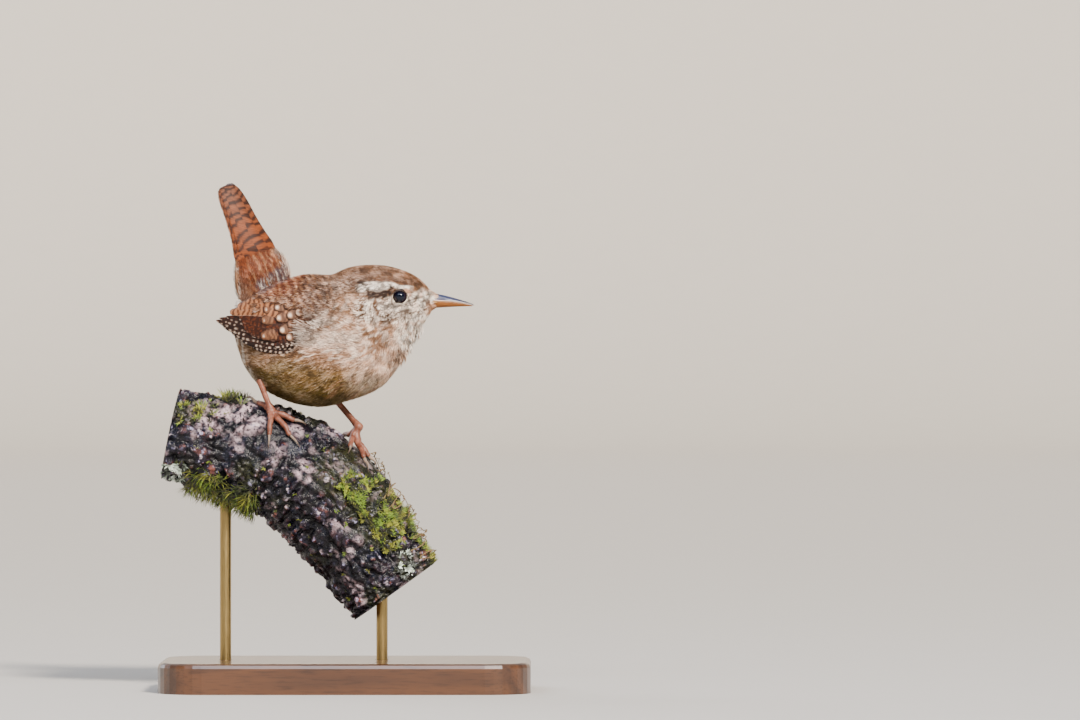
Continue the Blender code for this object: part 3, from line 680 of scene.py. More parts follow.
def paint(tree, colour, layers, factors=()):
    """A colour with tints laid over it, each by its share, and then made lighter or darker."""
    for share, tint in layers:
        colour = add(tree, "Mix", {0: share, 6: colour, 7: tint}, 2, data_type="RGBA")
    for factor in factors:
        colour = add(tree, "VectorMath", {0: colour, 3: factor}, operation="SCALE")
    return colour


def dress(tree, colour, height=None, strength=0.0, distance=0.0, rough=None, invert=False):
    """Links a colour, a bump of a pattern's height, and a roughness to the shader."""
    shader = tree.nodes["Principled BSDF"].inputs
    tree.links.new(colour, shader["Base Color"])
    if rough is not None:
        tree.links.new(rough, shader["Roughness"])
    if height is not None:
        bump = add(tree, "Bump", {"Height": height, "Strength": strength, "Distance": distance},
                   invert=invert)
        tree.links.new(bump, shader["Normal"])


def plumage(name, look, painted_root_shade=0.60, contrast=0.92):
    """Contour feathers, loose and unglossed: keratin barbs that scatter light softly, darker at the
    root than at the tip, as the down's own grey and as painted shade where the tufts overlap, each
    a little lighter or darker than the next, and some paled to cream, partly as painted highlight."""
    material, tree, place = begin(name, Roughness=0.62, Specular_IOR_Level=0.22, Sheen_Weight=0.08,
                                  Sheen_Roughness=0.45)
    *shares, tone, along = attributes(tree, *TINTS, "tone", "along")
    layers = [(share, getattr(look, tint)) for share, tint in zip(shares, TINTS)]
    # Barbs of high tone are mixed towards cream: pale barbs, and a painted highlight on single strands.
    paled_barb_and_painted_highlight = add(tree, "MapRange", {0: tone, 1: 0.62, 2: 0.92, 4: contrast * 0.20})
    layers.insert(-1, (paled_barb_and_painted_highlight, look.cream))
    # Patches of wear and light a few millimetres across.
    patch = add(tree, "TexNoise", {"Vector": place, "Scale": 420.0, "Detail": 3.0})
    colour = paint(tree, look.brown, layers, [
        add(tree, "MapRange", {0: tone, 1: 0.15, 2: 0.80, 3: 1 - contrast * 0.74, 4: 1 + contrast * 0.40}),
        # Painted shade at the barbs' roots, where the tufts overlap, over the down's own darker grey.
        add(tree, "MapRange", {0: along, 1: 0.1, 2: 0.75, 3: painted_root_shade}),
        add(tree, "MapRange", {0: patch, 1: 0.3, 2: 0.7, 3: 0.93, 4: 1.07}),
    ])
    # No plumage is whiter than warm chalk.
    dress(tree, add(tree, "VectorMath", {0: colour, 1: (0.93, 0.86, 0.79)}, operation="MINIMUM"))
    return material


def leg_skin(look):
    """Bare leg: small horny plates over thin skin, pinkish brown, with a dull waxy shine and
    darker lines where the plates meet."""
    material, tree, place = begin("leg_skin", Roughness=0.42, Specular_IOR_Level=0.45,
                                  Subsurface_Weight=0.12, Subsurface_Scale=0.0006)
    scales = add(tree, "TexVoronoi", {"Vector": place, "Scale": 1500.0}, "Distance",
                 feature="DISTANCE_TO_EDGE")
    line = add(tree, "MapRange", {0: scales, 1: 0.0, 2: 0.16})
    patch = add(tree, "TexNoise", {"Vector": place, "Scale": 520.0, "Detail": 4.0})
    tint = add(tree, "MapRange", {0: patch, 1: 0.35, 2: 0.65})
    skin = paint(tree, look.leg_dark, [(tint, look.leg_pale)])
    lined = paint(tree, linear("#5d3b31"), [(line, skin)])
    dress(tree, paint(tree, skin, [(0.45, lined)]), line, 0.35, 0.00008)
    return material


def horn(name, base, tip, edge, rough=0.34):
    """Beak and claw horn: polished layered keratin, dark where it is thick and clear at the edge,
    with fine lengthwise grain. The 'tip' and 'edge' attributes say where."""
    material, tree, place = begin(name, Roughness=rough, Specular_IOR_Level=0.34,
                                  Subsurface_Weight=0.08, Subsurface_Scale=0.0005)
    turned = add(tree, "Mapping", {"Vector": place, "Scale": (0.16, 1.0, 1.0)})
    grain = add(tree, "TexNoise", {"Vector": turned, "Scale": 3200.0, "Detail": 4.0, "Roughness": 0.6})
    tone = add(tree, "MapRange", {0: grain, 1: 0.3, 2: 0.7, 3: 0.72, 4: 1.22})
    layers = zip(attributes(tree, "tip", "edge"), (tip, edge))
    dress(tree, paint(tree, base, layers, [tone]), grain, 0.25, 0.00004)
    return material


def eyeball(side, look):
    """Wet cornea over a dark brown iris and a black pupil, both tinted navy as a painted reflection of
    blue sky. The pattern is centred on the eye's axis, which is sideways."""
    material, tree, place = begin(f"cornea_{side}", Roughness=0.05, IOR=1.376, Specular_IOR_Level=0.6)
    centred = add(tree, "Mapping", {"Vector": place, "Location": (-EYE[0], 0.0, -EYE[2]),
                                    "Scale": (1 / MM, 0.0, 1 / MM)})
    reach = add(tree, "VectorMath", {0: centred}, "Value", operation="LENGTH")
    iris = add(tree, "MapRange", {0: reach, 1: 1.18, 2: 1.3})
    rim = add(tree, "MapRange", {0: reach, 1: 1.62, 2: 1.85})
    fibres = add(tree, "TexNoise", {"Vector": place, "Scale": 3500.0})
    # The navy in the iris, the pupil and the dark rim is a painted reflection of blue sky.
    brown = paint(tree, linear("#060c26"), [(fibres, look.iris)])
    dress(tree, paint(tree, linear("#010617"), [(iris, brown), (rim, linear("#03081a"))]))
    return material


def lid_skin():
    """The bare rim of the lids: thin granular skin, pale grey buff with dark gaps."""
    material, tree, place = begin("lid_skin", Roughness=0.5, Specular_IOR_Level=0.4)
    grains = add(tree, "TexVoronoi", {"Vector": place, "Scale": 3300.0}, "Distance")
    patch = add(tree, "TexNoise", {"Vector": place, "Scale": 900.0})
    mask = add(tree, "MapRange", {0: patch, 1: 0.36, 2: 0.52})
    height = add(tree, "SeparateXYZ", {0: place}, 2)
    # Pale below the eye's middle and dark above it.
    low = add(tree, "MapRange", {0: height, 1: (EYE[2] + 0.7) * MM, 2: (EYE[2] - 0.3) * MM})
    both = add(tree, "Math", {0: mask, 1: low}, operation="MULTIPLY")
    dress(tree, paint(tree, linear("#2a1d18"), [(both, linear("#fff1d8"))]), grains, 0.5, 0.00006,
          invert=True)
    return material


def coat_depth(s, point):
    """How deep the skin lies below the coat's face: thinnest at the bill and round the eye."""
    away = np.hypot(point[..., 0] - EYE[0], point[..., 2] - EYE[2])
    depth = 0.30 + 0.18 * smooth(1.0, 4.0, s) + 0.45 * smooth(5.5, 9.5, s)
    return depth * smooth(-0.4, 1.2, s) * (0.55 + 0.45 * smooth(2.2, 3.8, away))


def skin_surface(s, a):
    """The body drawn in by the coat's depth, with a raised rim of lid round each eye and a socket
    within it that passes behind the eyeball."""
    point, _, _, normal = tangents(body, s, a)
    away = np.hypot(point[..., 0] - EYE[0], (point[..., 2] - EYE[2]) * 1.06)
    lateral = smooth(4.5, 6.0, np.abs(point[..., 1]))
    rim = 0.06 * np.exp(-((away - 2.3) / 0.42) ** 2) * lateral
    socket = 1.9 * smooth(2.0, 1.5, away) * lateral
    return point + normal * (rim - socket - coat_depth(s, point))[..., None]


def sweep(path, across, upward, reference, sides=16):
    """A tube's rings along points: at each, an ellipse of the given half sizes. Upward is the part
    of the reference direction that is square to the path."""
    way = unit(np.gradient(path, axis=0))
    up = unit(reference - np.sum(reference * way, -1, keepdims=True) * way)
    side = np.cross(way, up)
    angle = turns(sides)[None, :, None]
    ring = np.cos(angle) * side[:, None] * across[:, None, None]
    return path[:, None] + ring + np.sin(angle) * up[:, None] * upward[:, None, None]


def walk_bark(tree, start, heading, distances, heights):
    """Points that walk over the branch from start, each at its height above the bark, and the
    bark's normals there."""
    here, normal, _, _ = tree.find_nearest(Vector(start))
    way = Vector(heading).normalized()
    points, normals, walked = [], [], 0.0
    for distance, height in zip(distances, heights):
        way = (way - normal * way.dot(normal)).normalized()
        here, normal, _, _ = tree.find_nearest(here + way * float(distance - walked))
        walked = distance
        points.append(tuple(here + normal * float(height)))
        normals.append(tuple(normal))
    return points, normals


def bark_tree():
    """The CAD branch as a search tree in mm."""
    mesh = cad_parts["perch"].data
    flat = np.empty(len(mesh.vertices) * 3)
    mesh.vertices.foreach_get("co", flat)
    mesh.calc_loop_triangles()
    corners = np.empty(len(mesh.loop_triangles) * 3, dtype=np.int32)
    mesh.loop_triangles.foreach_get("vertices", corners)
    return BVHTree.FromPolygons((flat.reshape(-1, 3) / MM).tolist(), corners.reshape(-1, 3).tolist())


def foot_plan(side, leg, tree):
    """Where the foot's pad, toes and claws lie: the same walk over the bark as the frame's."""
    bark, away, _, _ = tree.find_nearest(Vector(leg["ankle"]))
    lift = max(PAD_RADIUS + 0.3, (Vector(leg["ankle"]) - bark).dot(away))
    ankle = bark + away * lift
    outward = SIDES[side]
    plan = {"ankle": np.array(ankle), "away": np.array(away), "toes": {}}
    for toe, (turn, length, claw) in TOES.items():
        turn = leg["hind_turn"] if toe == "hind" else turn
        angle = math.radians(leg["heading"] - outward * turn)
        distances = (length + claw) * np.arange(1, 13) / 12
        share = np.minimum(1, distances / length)
        beyond = np.maximum(0, distances - length) / claw
        bow = 0.55 * np.sin(np.pi * np.minimum(1, beyond * 1.05)) - 0.25 * beyond
        let_down = (lift - PAD_RADIUS) * np.maximum(0, 1 - 2.2 * share) ** 2
        heights = 0.80 - 0.22 * share + 0.3 + 0.45 * np.sin(np.pi * share) ** 2 + bow + let_down
        heading = (math.cos(angle), math.sin(angle), 0.0)
        points, normals = walk_bark(tree, ankle, heading, distances, heights)
        on_toe = distances <= length
        points, normals = np.array(points), np.array(normals)
        toe_path = np.vstack([plan["ankle"], points[on_toe]])
        toe_up = np.vstack([plan["away"], normals[on_toe]])
        claw_path = np.vstack([toe_path[-1], points[~on_toe]])
        claw_up = np.vstack([toe_up[-1], normals[~on_toe]])
        plan["toes"][toe] = (toe_path, toe_up, claw_path, claw_up)
    return plan


def resample(path, count):
    """A path drawn again through its points with count of them."""
    path = np.asarray(path, float)
    return through(path, np.linspace(0, len(path) - 1, count))


def swollen(rings, facing, low, high, swell):
    """Rings drawn outwards by their own swell, on the side where the facing is above low."""
    middle = rings.mean(axis=1, keepdims=True)
    side = smooth(low, high, facing)[None, :, None]
    return middle + (rings - middle) * (1 + side * swell[:, None, None])


def toe_rings(path, up, joints):
    """A toe: it narrows to the claw, swells at each joint, has a pad below and low plates above."""
    t = np.linspace(0, 1, 70)
    radius = (0.90 - 0.30 * t) * (1 + 0.075 * np.cos(TAU * joints * t) ** 3)
    radius = radius * np.sqrt(np.clip((1.04 - t) / 0.10, 0.02, 1))
    rings = sweep(resample(path, 70), radius * 0.96, radius * 1.02, resample(up, 70), 20)
    return swollen(rings, np.sin(turns(20)), 0.1, 0.9, 0.035 * (1 - ((t * joints * 4.5) % 1)))


def shank_rings(top, ankle, out):
    """A shank: slim, thicker at both joints, with overlapping plates down its front."""
    t = np.linspace(0, 1, 110)
    path = np.array(top) + (np.array(ankle) - np.array(top)) * t[:, None]
    radius = 0.78 + 0.30 * smooth(0.72, 1.0, t) + 0.10 * smooth(0.25, 0.0, t)
    rings = sweep(path, radius * 0.88, radius * 1.08, out, 24)
    return swollen(rings, np.sin(turns(24)), -0.2, 0.8, 0.10 * (1 - ((t * 8.5) % 1)))


def loose_shell(name, grid, cell, material, group):
    """A closed loft as a plain object in a collection, to be joined to the skin."""
    points, faces, uvs = lofts(face_out(grid)[None], cell)
    mesh = bpy.data.meshes.new(name)
    mesh.from_pydata((points * MM).tolist(), [], [f.tolist() for kind in faces for f in kind])
    layer = mesh.uv_layers.new(name="OFBake")
    layer.data.foreach_set("uv", uvs.astype(np.float32).ravel())
    mesh.materials.append(material)
    made = bpy.data.objects.new(name, mesh)
    group.objects.link(made)
    return made


def face_out(grid):
    """Rings turned round where their first quad faces in, so that every shell faces out."""
    half = len(grid) // 2
    across = np.cross(grid[half + 1, 0] - grid[half, 0], grid[half, 1] - grid[half, 0])
    ring_middle = grid[half].mean(axis=0)
    return grid if np.dot(across, grid[half, 0] - ring_middle) > 0 else grid[:, ::-1]


def skin_parts(feathered, bare):
    """What joins the body's skin: rings, the left edge and width of the unwrap's cell, and finish."""
    at, angle = np.broadcast_arrays(np.linspace(0.0, 3.83, 60)[:, None], turns(72))
    parts = [(tail_root(at, angle), 0.0, 0.30, feathered)]
    tree = bark_tree()
    for left, (side, leg) in zip((0.32, 0.66), LEGS.items()):
        plan = foot_plan(side, leg, tree)
        middle = np.array(leg["thigh"])
        thigh = thigh_surface(leg)(*np.broadcast_arrays(np.linspace(0.02, 0.98, 40)[:, None], turns(40)))
        heading = math.radians(leg["heading"])
        out = np.array((math.cos(heading), math.sin(heading), 0.2))
        t = np.linspace(-1, 1, 24)
        radius = PAD_RADIUS * 1.02 * np.sqrt(1 - (0.985 * t) ** 2)
        pad = sweep(plan["ankle"] + t[:, None] * plan["away"] * PAD_RADIUS * 0.98, radius, radius, out, 24)
        parts += [
            (middle + (thigh - middle) * 0.86, left, 0.08, feathered),
            (shank_rings(leg["shank_top"], plan["ankle"], out), left + 0.09, 0.06, bare),
            (pad, left + 0.16, 0.04, bare),
        ]
        # The hind toe has one joint, and the inner, middle and outer toes have one more each.
        for k, (path, up, _, _) in enumerate(plan["toes"].values()):
            parts.append((toe_rings(path, up, k + 1), left + 0.21 + 0.03 * k, 0.028, bare))
    return parts


def make_skin(look):
    """One closed skin: body, tail root, thighs, shanks and toes, joined where they meet."""
    feathered, bare = plumage("skin_under_coat", look, painted_root_shade=0.42), leg_skin(look)
    s = np.concatenate([np.linspace(0.03, 8, 100), np.linspace(8, BODY_LAST - 0.03, 61)[1:]])
    rings = skin_surface(*np.broadcast_arrays(s[:, None], turns(150)))
    skin = loose_shell("skin", rings, (0.0, 0.0, 1.0, 0.62), feathered, bpy.context.scene.collection)
    group = bpy.data.collections.new("skin_parts")
    bpy.context.scene.collection.children.link(group)
    shells = [loose_shell(f"part_{k}", grid, (left, 0.64, wide, 0.34), finish, group)
              for k, (grid, left, wide, finish) in enumerate(skin_parts(feathered, bare))]
    joining = skin.modifiers.new("join", "BOOLEAN")
    joining.operation, joining.solver, joining.material_mode = "UNION", "EXACT", "TRANSFER"
    joining.operand_type = "COLLECTION"
    joining.collection = group
    mesh = bpy.data.meshes.new_from_object(skin.evaluated_get(bpy.context.evaluated_depsgraph_get()))
    skin.modifiers.clear()
    skin.data = mesh
    for shell in shells:
        bpy.data.objects.remove(shell)
    bpy.data.collections.remove(group)
    if len(mesh.polygons) < 40000:
        raise RuntimeError("the skin's parts didn't join")
    flat = np.empty(len(mesh.vertices) * 3, dtype=np.float32)
    mesh.vertices.foreach_get("co", flat)
    points = flat.reshape(-1, 3).astype(float) / MM
    tints = markings(points)
    # The skin is painted darker than the coat, with a low tone and a root's along value: painted shade under
    # the barbs.
    tints["tone"] = 0.25 + 0.4 * noise(points[:, 0] * 2.5, points[:, 2] * 2.5, 31)
    tints["along"] = np.full(len(points), 0.34)
    for key, values in tints.items():
        mesh.attributes.new(key, "FLOAT", "POINT").data.foreach_set("value", values.astype(np.float32))
    mesh.polygons.foreach_set("use_smooth", np.ones(len(mesh.polygons), dtype=bool))
    mesh.update()
    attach(skin, "root")
    legs = [f"{part}_{side}" for part in ("thigh", "shank", "foot") for side in SIDES]
    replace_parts(skin, "head", "neck", "trunk", *legs)


def make_eyes(look):
    """Eyeballs as spheres with a low cornea, and round each a rim of lid, a ring that lies on the
    eyeball and is a little lower than it is long."""
    lid = lid_skin()
    for side, way in SIDES.items():
        polar, turn = np.linspace(0.02, math.pi - 0.02, 60)[:, None], turns(64)
        reach = EYE_RADIUS * (1 + 0.045 * smooth(0.75, 0.2, polar))
        grid = np.stack(np.broadcast_arrays(
            EYE[0] + reach * np.sin(polar) * np.cos(turn),
            way * (EYE[1] + reach * np.cos(polar)),
            EYE[2] + reach * np.sin(polar) * np.sin(turn)), -1)
        eye = write_loft(f"eyeball_{side}", face_out(grid)[None], eyeball(side, look))
        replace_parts(eye, f"eye_{side}")
        angle = turns(120)
        wide = 1.92 + 0.11 * np.cos(2 * angle)
        rim_x, rim_z = EYE[0] + wide * np.cos(angle), EYE[2] - 0.18 + wide * np.sin(angle)
        away = np.minimum(np.hypot(rim_x - EYE[0], rim_z - EYE[2]), 2.1)
        ball = EYE[1] + np.sqrt(EYE_RADIUS ** 2 - away ** 2)
        out = np.clip(body_reach(rim_x, rim_z) - 0.03, ball + 0.04, ball + 0.95)
        path = np.stack([rim_x, way * out, rim_z], -1)
        outward = unit(path - np.array((EYE[0], way * EYE[1], EYE[2])))
        sideways = np.cross(unit(np.roll(path, -1, 0) - np.roll(path, 1, 0)), outward)
        thick = 0.25 + 0.03 * np.sin(angle * 17) + 0.02 * np.sin(angle * 29 + 1)
        round_it = turns(12)[None, :, None]
        ring = path[:, None] + thick[:, None, None] * (
            1.7 * np.cos(round_it) * np.array((0.0, way, 0.0)) + 1.2 * np.sin(round_it) * sideways[:, None])
        number = np.arange(ring.size // 3).reshape(ring.shape[:2])
        nxt = np.roll(number, -1, 0)
        quads = np.stack([number, nxt, np.roll(nxt, -1, 1), np.roll(number, -1, 1)], -1).reshape(-1, 4)
        flat = ring.reshape(-1, 3)
        facing = np.cross(flat[quads[0, 1]] - flat[0], flat[quads[0, 3]] - flat[0])
        if np.dot(facing, flat[0] - path[0]) < 0:
            quads = quads[:, ::-1]
        own = np.indices(number.shape).reshape(2, -1).T / np.array((121, 13))
        write_mesh(f"lid_{side}", flat, [quads], lid, uvs=own)


def bill_half(upper):
    """One half of the bill: half an ellipse over the mouth line that narrows to the tip. The upper
    half has a ridge along its top, a nostril groove at its root and a hooked tip; the lower has a
    keel that rises to the tip."""
    t = np.linspace(0, 1, 110)[:, None]
    way = 1 if upper else -1
    length = 34.0 - 22.2 - (0 if upper else 0.4)
    shown = np.clip((t * length - 0.7) / (length - 0.7), 0, 1)
    x = 22.2 + length * t
    mouth = 102.9 - shown ** 2.2 + way * 0.004
    width = 0.20 + (1.78 - 0.20) * (1 - shown) ** 1.12
    depth = 0.20 + (1.95 * (1 - shown ** 1.05) if upper else 1.4 * (1 - shown ** 1.5))
    blunt = np.sqrt(np.clip((1.004 - t) / 0.03, 0.01, 1))
    angle = np.pi * np.linspace(0, 1, 33)[None, :]
    over = np.sin(angle)
    ridge = 1 + 0.07 * np.exp(-((angle - np.pi / 2) / 0.24) ** 2) * (1 if upper else 0.6)
    side_view = np.exp(-((shown - 0.20) / 0.13) ** 2)
    level = np.exp(-((over - 0.52) / 0.16) ** 2)
    dent = 1 - (0.17 if upper else 0.0) * side_view * level
    pinch = 1 - (0.05 if upper else 0.03) * np.sin(np.pi * np.minimum(over * 1.6, 1)) * (1 - shown)
    y = width * blunt * np.cos(angle) * dent * pinch
    z = mouth + way * depth * blunt * over * ridge
    shell = np.stack(np.broadcast_arrays(x + 0 * angle, y, z), -1)
    under = shell[:, ::-1][:, 1:-1].copy()
    rise = np.sin(np.pi * np.linspace(0, 1, 33))[None, ::-1][:, 1:-1]
    under[..., 2] = mouth + way * 0.22 * rise * depth * (0.6 if upper else 0.4)
    return np.concatenate([shell, under], 1), shown, over


def make_bill(look):
    """Both halves of the bill, and the soft yellow gape that runs back from its corner."""
    for upper, node in ((True, "bill_upper"), (False, "bill_lower")):
        grid, shown, over = bill_half(upper)
        turned = face_out(grid)
        level = np.concatenate([over[0], np.zeros(grid.shape[1] - over.shape[1])])
        level = level if turned is grid else level[::-1]
        edge = 0.85 * smooth(0.34 if upper else 2.0, 0.10, level)[None, :]
        tip = 0.8 * smooth(0.35, 0.95, shown)
        base, end = (look.bill_dark, linear("#2d2a33")) if upper else (look.bill_orange, linear("#6a4a34"))
        made = horn(f"{node}_horn", base, end, linear("#a8733f") if upper else look.bill_orange, rough=0.31)
        marks = {key: np.broadcast_to(value, grid.shape[:2]) for key, value in (("edge", edge), ("tip", tip))}
        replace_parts(write_loft(f"{node}_sheath", turned[None], made, marks), node)
    gape = horn("gape_skin", linear("#b98a4e"), linear("#c79a5c"), linear("#c79a5c"), rough=0.5)
    t = np.linspace(0, 1, 30)
    size = 0.22 * np.sqrt(np.clip(1 - (2 * t - 1) ** 2, 0.02, 1))
    x = 24.2 - 4.4 * t
    for side, way in SIDES.items():
        y = way * np.interp(x, [19.0, 21.0, 22.6, 24.4], [4.75, 3.75, 2.25, 1.55])
        path = np.stack([x, y, 102.75 - 0.55 * t ** 1.5], -1)
        rings = face_out(sweep(path, size * 1.25, size, np.array((0.0, way, 0.0)), 12))
        write_loft(f"gape_{side}", rings[None], gape)


def make_claws(look):
    """Curved claws, deeper than wide, drawn out to a point."""
    tree = bark_tree()
    t = np.linspace(0, 1, 50)
    size = (0.50 * (1 - t) ** 0.75 + 0.035) * np.sqrt(np.clip((t + 0.03) / 0.12, 0.1, 1))
    for side, leg in LEGS.items():
        for toe, (_, _, path, up) in foot_plan(side, leg, tree)["toes"].items():
            rings = face_out(sweep(resample(path, 50), size * 0.66, size, resample(up, 50), 16))
            made = horn(f"claw_horn_{side}_{toe}", look.claw, linear("#4a3a33"), look.claw)
            marks = {"tip": np.repeat(smooth(0.3, 1.0, t), 16)}
            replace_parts(write_loft(f"claw_{toe}_{side}_sheath", rings[None], made, marks),
                        f"claw_{side}_{toe}")


# The coat, region by region: rings from and to, angles from and to in degrees, tufts, barb length at
# the first and last ring, barb width at both, how deep the roots are, and how far the tips stand out.
COAT = {
    "face": (0.75, 4.9, -180, 180, 3500, 0.80, 1.70, 0.13, 0.20, 0.36, 0.07),
    "crown": (4.7, 8.2, -118, 118, 2700, 1.7, 2.7, 0.19, 0.26, 0.62, 0.12),
    "throat": (4.3, 9.2, 98, 262, 2800, 2.0, 3.4, 0.21, 0.30, 0.62, 0.34),
    "breast": (8.8, 12.7, 95, 265, 2500, 3.0, 3.8, 0.28, 0.34, 0.90, 0.26),
    "mantle": (7.8, 13.8, -78, 78, 2500, 2.2, 2.9, 0.24, 0.30, 0.85, 0.16),
    "flank_right": (7.9, 14.6, -112, -66, 1800, 2.8, 3.6, 0.26, 0.32, 0.90, 0.24),
    "flank_left": (7.9, 14.6, 66, 112, 1800, 2.8, 3.6, 0.26, 0.32, 0.90, 0.24),
    "belly": (12.3, 16.8, 92, 268, 2300, 3.4, 3.0, 0.28, 0.32, 0.90, 0.30),
    "rump": (13.2, 16.9, -100, 100, 1500, 3.0, 3.2, 0.26, 0.30, 0.85, 0.26),
}


def open_round_eye(s, a, point):
    """1 where the coat may grow, 0 within the lids."""
    away = np.hypot(point[..., 0] - EYE[0], point[..., 2] - EYE[2])
    return np.where((away < 2.35) & (np.abs(point[..., 1]) > 4.5), 0.0, 1.0)


def bill_cuff(s, a):
    """A cone round the bill's root: s is mm forward of x 21.6, and it narrows from the face's width to
    the bill's."""
    t = np.clip(s / 3.0, -0.2, 1.2)
    shrink = np.clip(1 - t, 0, 1.2) ** 1.2
    high = np.where(np.cos(a) > 0, 1.80 + 1.9 * shrink, 1.25 + 2.0 * shrink)
    return np.stack([21.6 + s + 0 * a, (1.55 + 2.0 * shrink) * np.sin(a), 102.9 + high * np.cos(a)], -1)


def body_tufts(name, seed):
    """One region of the body's coat. The barbs shorten round the eye, droop at the throat and
    sweep up a little over the wing's lower edge."""
    s0, s1, a0, a1, count, long0, long1, wide0, wide1, depth, rise = COAT[name]
    s, a = scatter(count, (s0, s1), (math.radians(a0), math.radians(a1)), body, open_round_eye)
    t = (s - s0) / (s1 - s0)
    point = body(s, a)
    x, y, z = point.T
    near_eye = smooth(4.6, 2.3, np.hypot(x - EYE[0], z - EYE[2])) * (np.abs(y) > 4)
    length = (long0 + (long1 - long0) * t) * (1 - 0.55 * near_eye)
    ragged = stroke(x, z, [(20.5, 97.5), (18.5, 94.5), (16.5, 91)], 1.5, 2.5)
    down = np.where(a < 0, 1.0, -1.0) * np.sign(np.pi - np.abs(a))
    lift = rise * (1 + 1.6 * ragged * (noise(x, z * 1.3, 4) > 0.45))
    swirl = (noise(x * 0.35, z * 0.35 + y * 0.2, 8) - 0.5) * 0.7
    face = smooth(5.0, 2.5, s)
    return barbs(body, s, a, seed, length, wide0 + (wide1 - wide0) * t, spread=0.34,
                 rise=lift * (1 - 0.3 * face), depth=np.minimum(depth, coat_depth(s, point) + 0.04),
                 turn=swirl * (1 - 0.6 * face) + 0.06 * down, span=(0.4, BODY_LAST - 0.1))


def side_plumes(side):
    """Batches over the bird's side: loose hair-like plumes that sweep back over the wing's lower
    front edge; then the breast's side over its front edge, and the shoulder feathers over its top."""
    sheet, way = drape(side), SIDES[side]

    def plumes(s, a, point):
        return smooth(0, 2, a - 87 - 0.25 * s) * smooth(97.0, 94.5, a) + 0.01

    def in_front(s, a, point):
        edge = 8.6 + 2.6 * smooth(94, 90, a) + 1.6 * (noise(a * 0.8, s * 0.2, 33) - 0.5)
        ends = smooth(-5, -1, s) * smooth(85, 88, a) * smooth(108, 105, a)
        return smooth(edge + 1.0, edge - 1.0, s) * ends + 0.01

    def on_top(s, a, point):
        edge = 101.4 + 0.25 * (s - 8) + 1.2 * (noise(s * 0.9, a * 0.2, 35) - 0.5)
        return smooth(edge - 0.8, edge + 0.6, a) * smooth(23.5, 21.0, s) * smooth(109.0, 106.5, a) + 0.01

    loose = grow(sheet, 560, (-6.0, 9.5), (87.0, 97.0), 77, 5.0, 0.20, plumes, count=5, spread=0.20,
                 rise=lambda s, a: 0.35 + 0.35 * smooth(2, 10, s), depth=0.5, turn=0.05 * way,
                 bend=0.05 * way, long=True, span=(-12.0, 30.0))
    over = dict(rise=0.26, depth=0.35, spread=0.34, span=(-12.0, 30.0))
    front = grow(sheet, 1350, (-5.0, 13.0), (86.0, 107.0), 620, 2.7, 0.28, in_front, turn=-0.12 * way,
                 patch=(0.0, 0.0, 1.0, 0.49), **over)
    top = grow(sheet, 1350, (-2.0, 23.5), (99.0, 109.0), 621, 2.3, 0.28, on_top, turn=-0.30 * way,
               patch=(0.0, 0.5, 1.0, 0.49), **over)
    return [loose], [front, top]


def paler(tints, points):
    """Flank plumes: paler in fine streaks."""
    streaks = noise(points[:, 0] * 0.4, points[:, 2] * 2.2, 61)
    tints["cream"] = np.clip(tints["cream"] + 0.22 * streaks, 0, 0.7)
    tints["dark"] = tints["dark"] * 0.5
    return tints


def covert_tints(tints, points):
    """Tail coverts: finely barred, pale along their rear edge, and grey where the down shows."""
    x, z = points[:, 0], points[:, 2]
    down = smooth(0.30, 0.55, noise(x * 2.6 + z * 1.2, z * 0.5, 47))
    tints["grey"] = 1.9 * tints["grey"] * (0.15 + 0.85 * down)
    inside = stroke(x, z, [(-28.0, 97), (-28.6, 103), (-29.2, 109), (-29.6, 114)], 0.7, 0.7)
    tints["rufous"] = tints["rufous"] * (1 - 0.7 * inside)
    spot = stroke(x, z, [(-29.6, 102.4), (-29.2, 103.4)], 1.0, 0.8)
    strands = stroke(x, z, [(-14.6, 109.4), (-15.4, 113.5), (-17.4, 117)], 0.35, 0.7)
    patch = stroke(x, z, [(-15.6, 110.4), (-18, 109.0), (-21.5, 106.6)], 1.2, 1.0)
    strands = np.maximum(strands * smooth(0.4, 0.6, noise(x * 3, z * 0.8, 46)),
                         patch * smooth(0.58, 0.72, noise(x * 3.4 + z * 1.6, z * 0.6, 48)))
    tips = smooth(0.52, 0.66, noise(x * 0.9, z * 0.55, 44)) * inside
    fine = smooth(0.2, 0.8, np.sin(z * 4.4 + x * 0.9 + 2 * noise(x, z, 41)))
    raise_tints(tints, buff=inside * 0.75, cream=np.maximum(np.maximum(0.9 * tips, spot), 0.75 * strands),
                dark=0.50 * fine * (1 - inside))
    return tints


def pale_down(tints, points):
    """Down round the vent: pale buff and grey, with one white spot."""
    found = {name: np.zeros(len(points)) for name in tints}
    white = stroke(points[:, 0], points[:, 2], [(-29.4, 102.0), (-29.4, 103.6)], 2.0, 1.0)
    found["buff"] = np.ones(len(points))
    found["cream"] = 0.45 + 0.55 * white
    found["grey"] = 0.5 * (1 - white) * noise(points[:, 0] * 3, points[:, 2], 49)
    return found


def plain(tints, points):
    """Thighs: the body's tints, weaker."""
    kept = {"dark": 0.3, "olive": 0.5, "buff": 1.0, "cream": 0.8}
    return {name: values * kept.get(name, 0.6) for name, values in tints.items()}


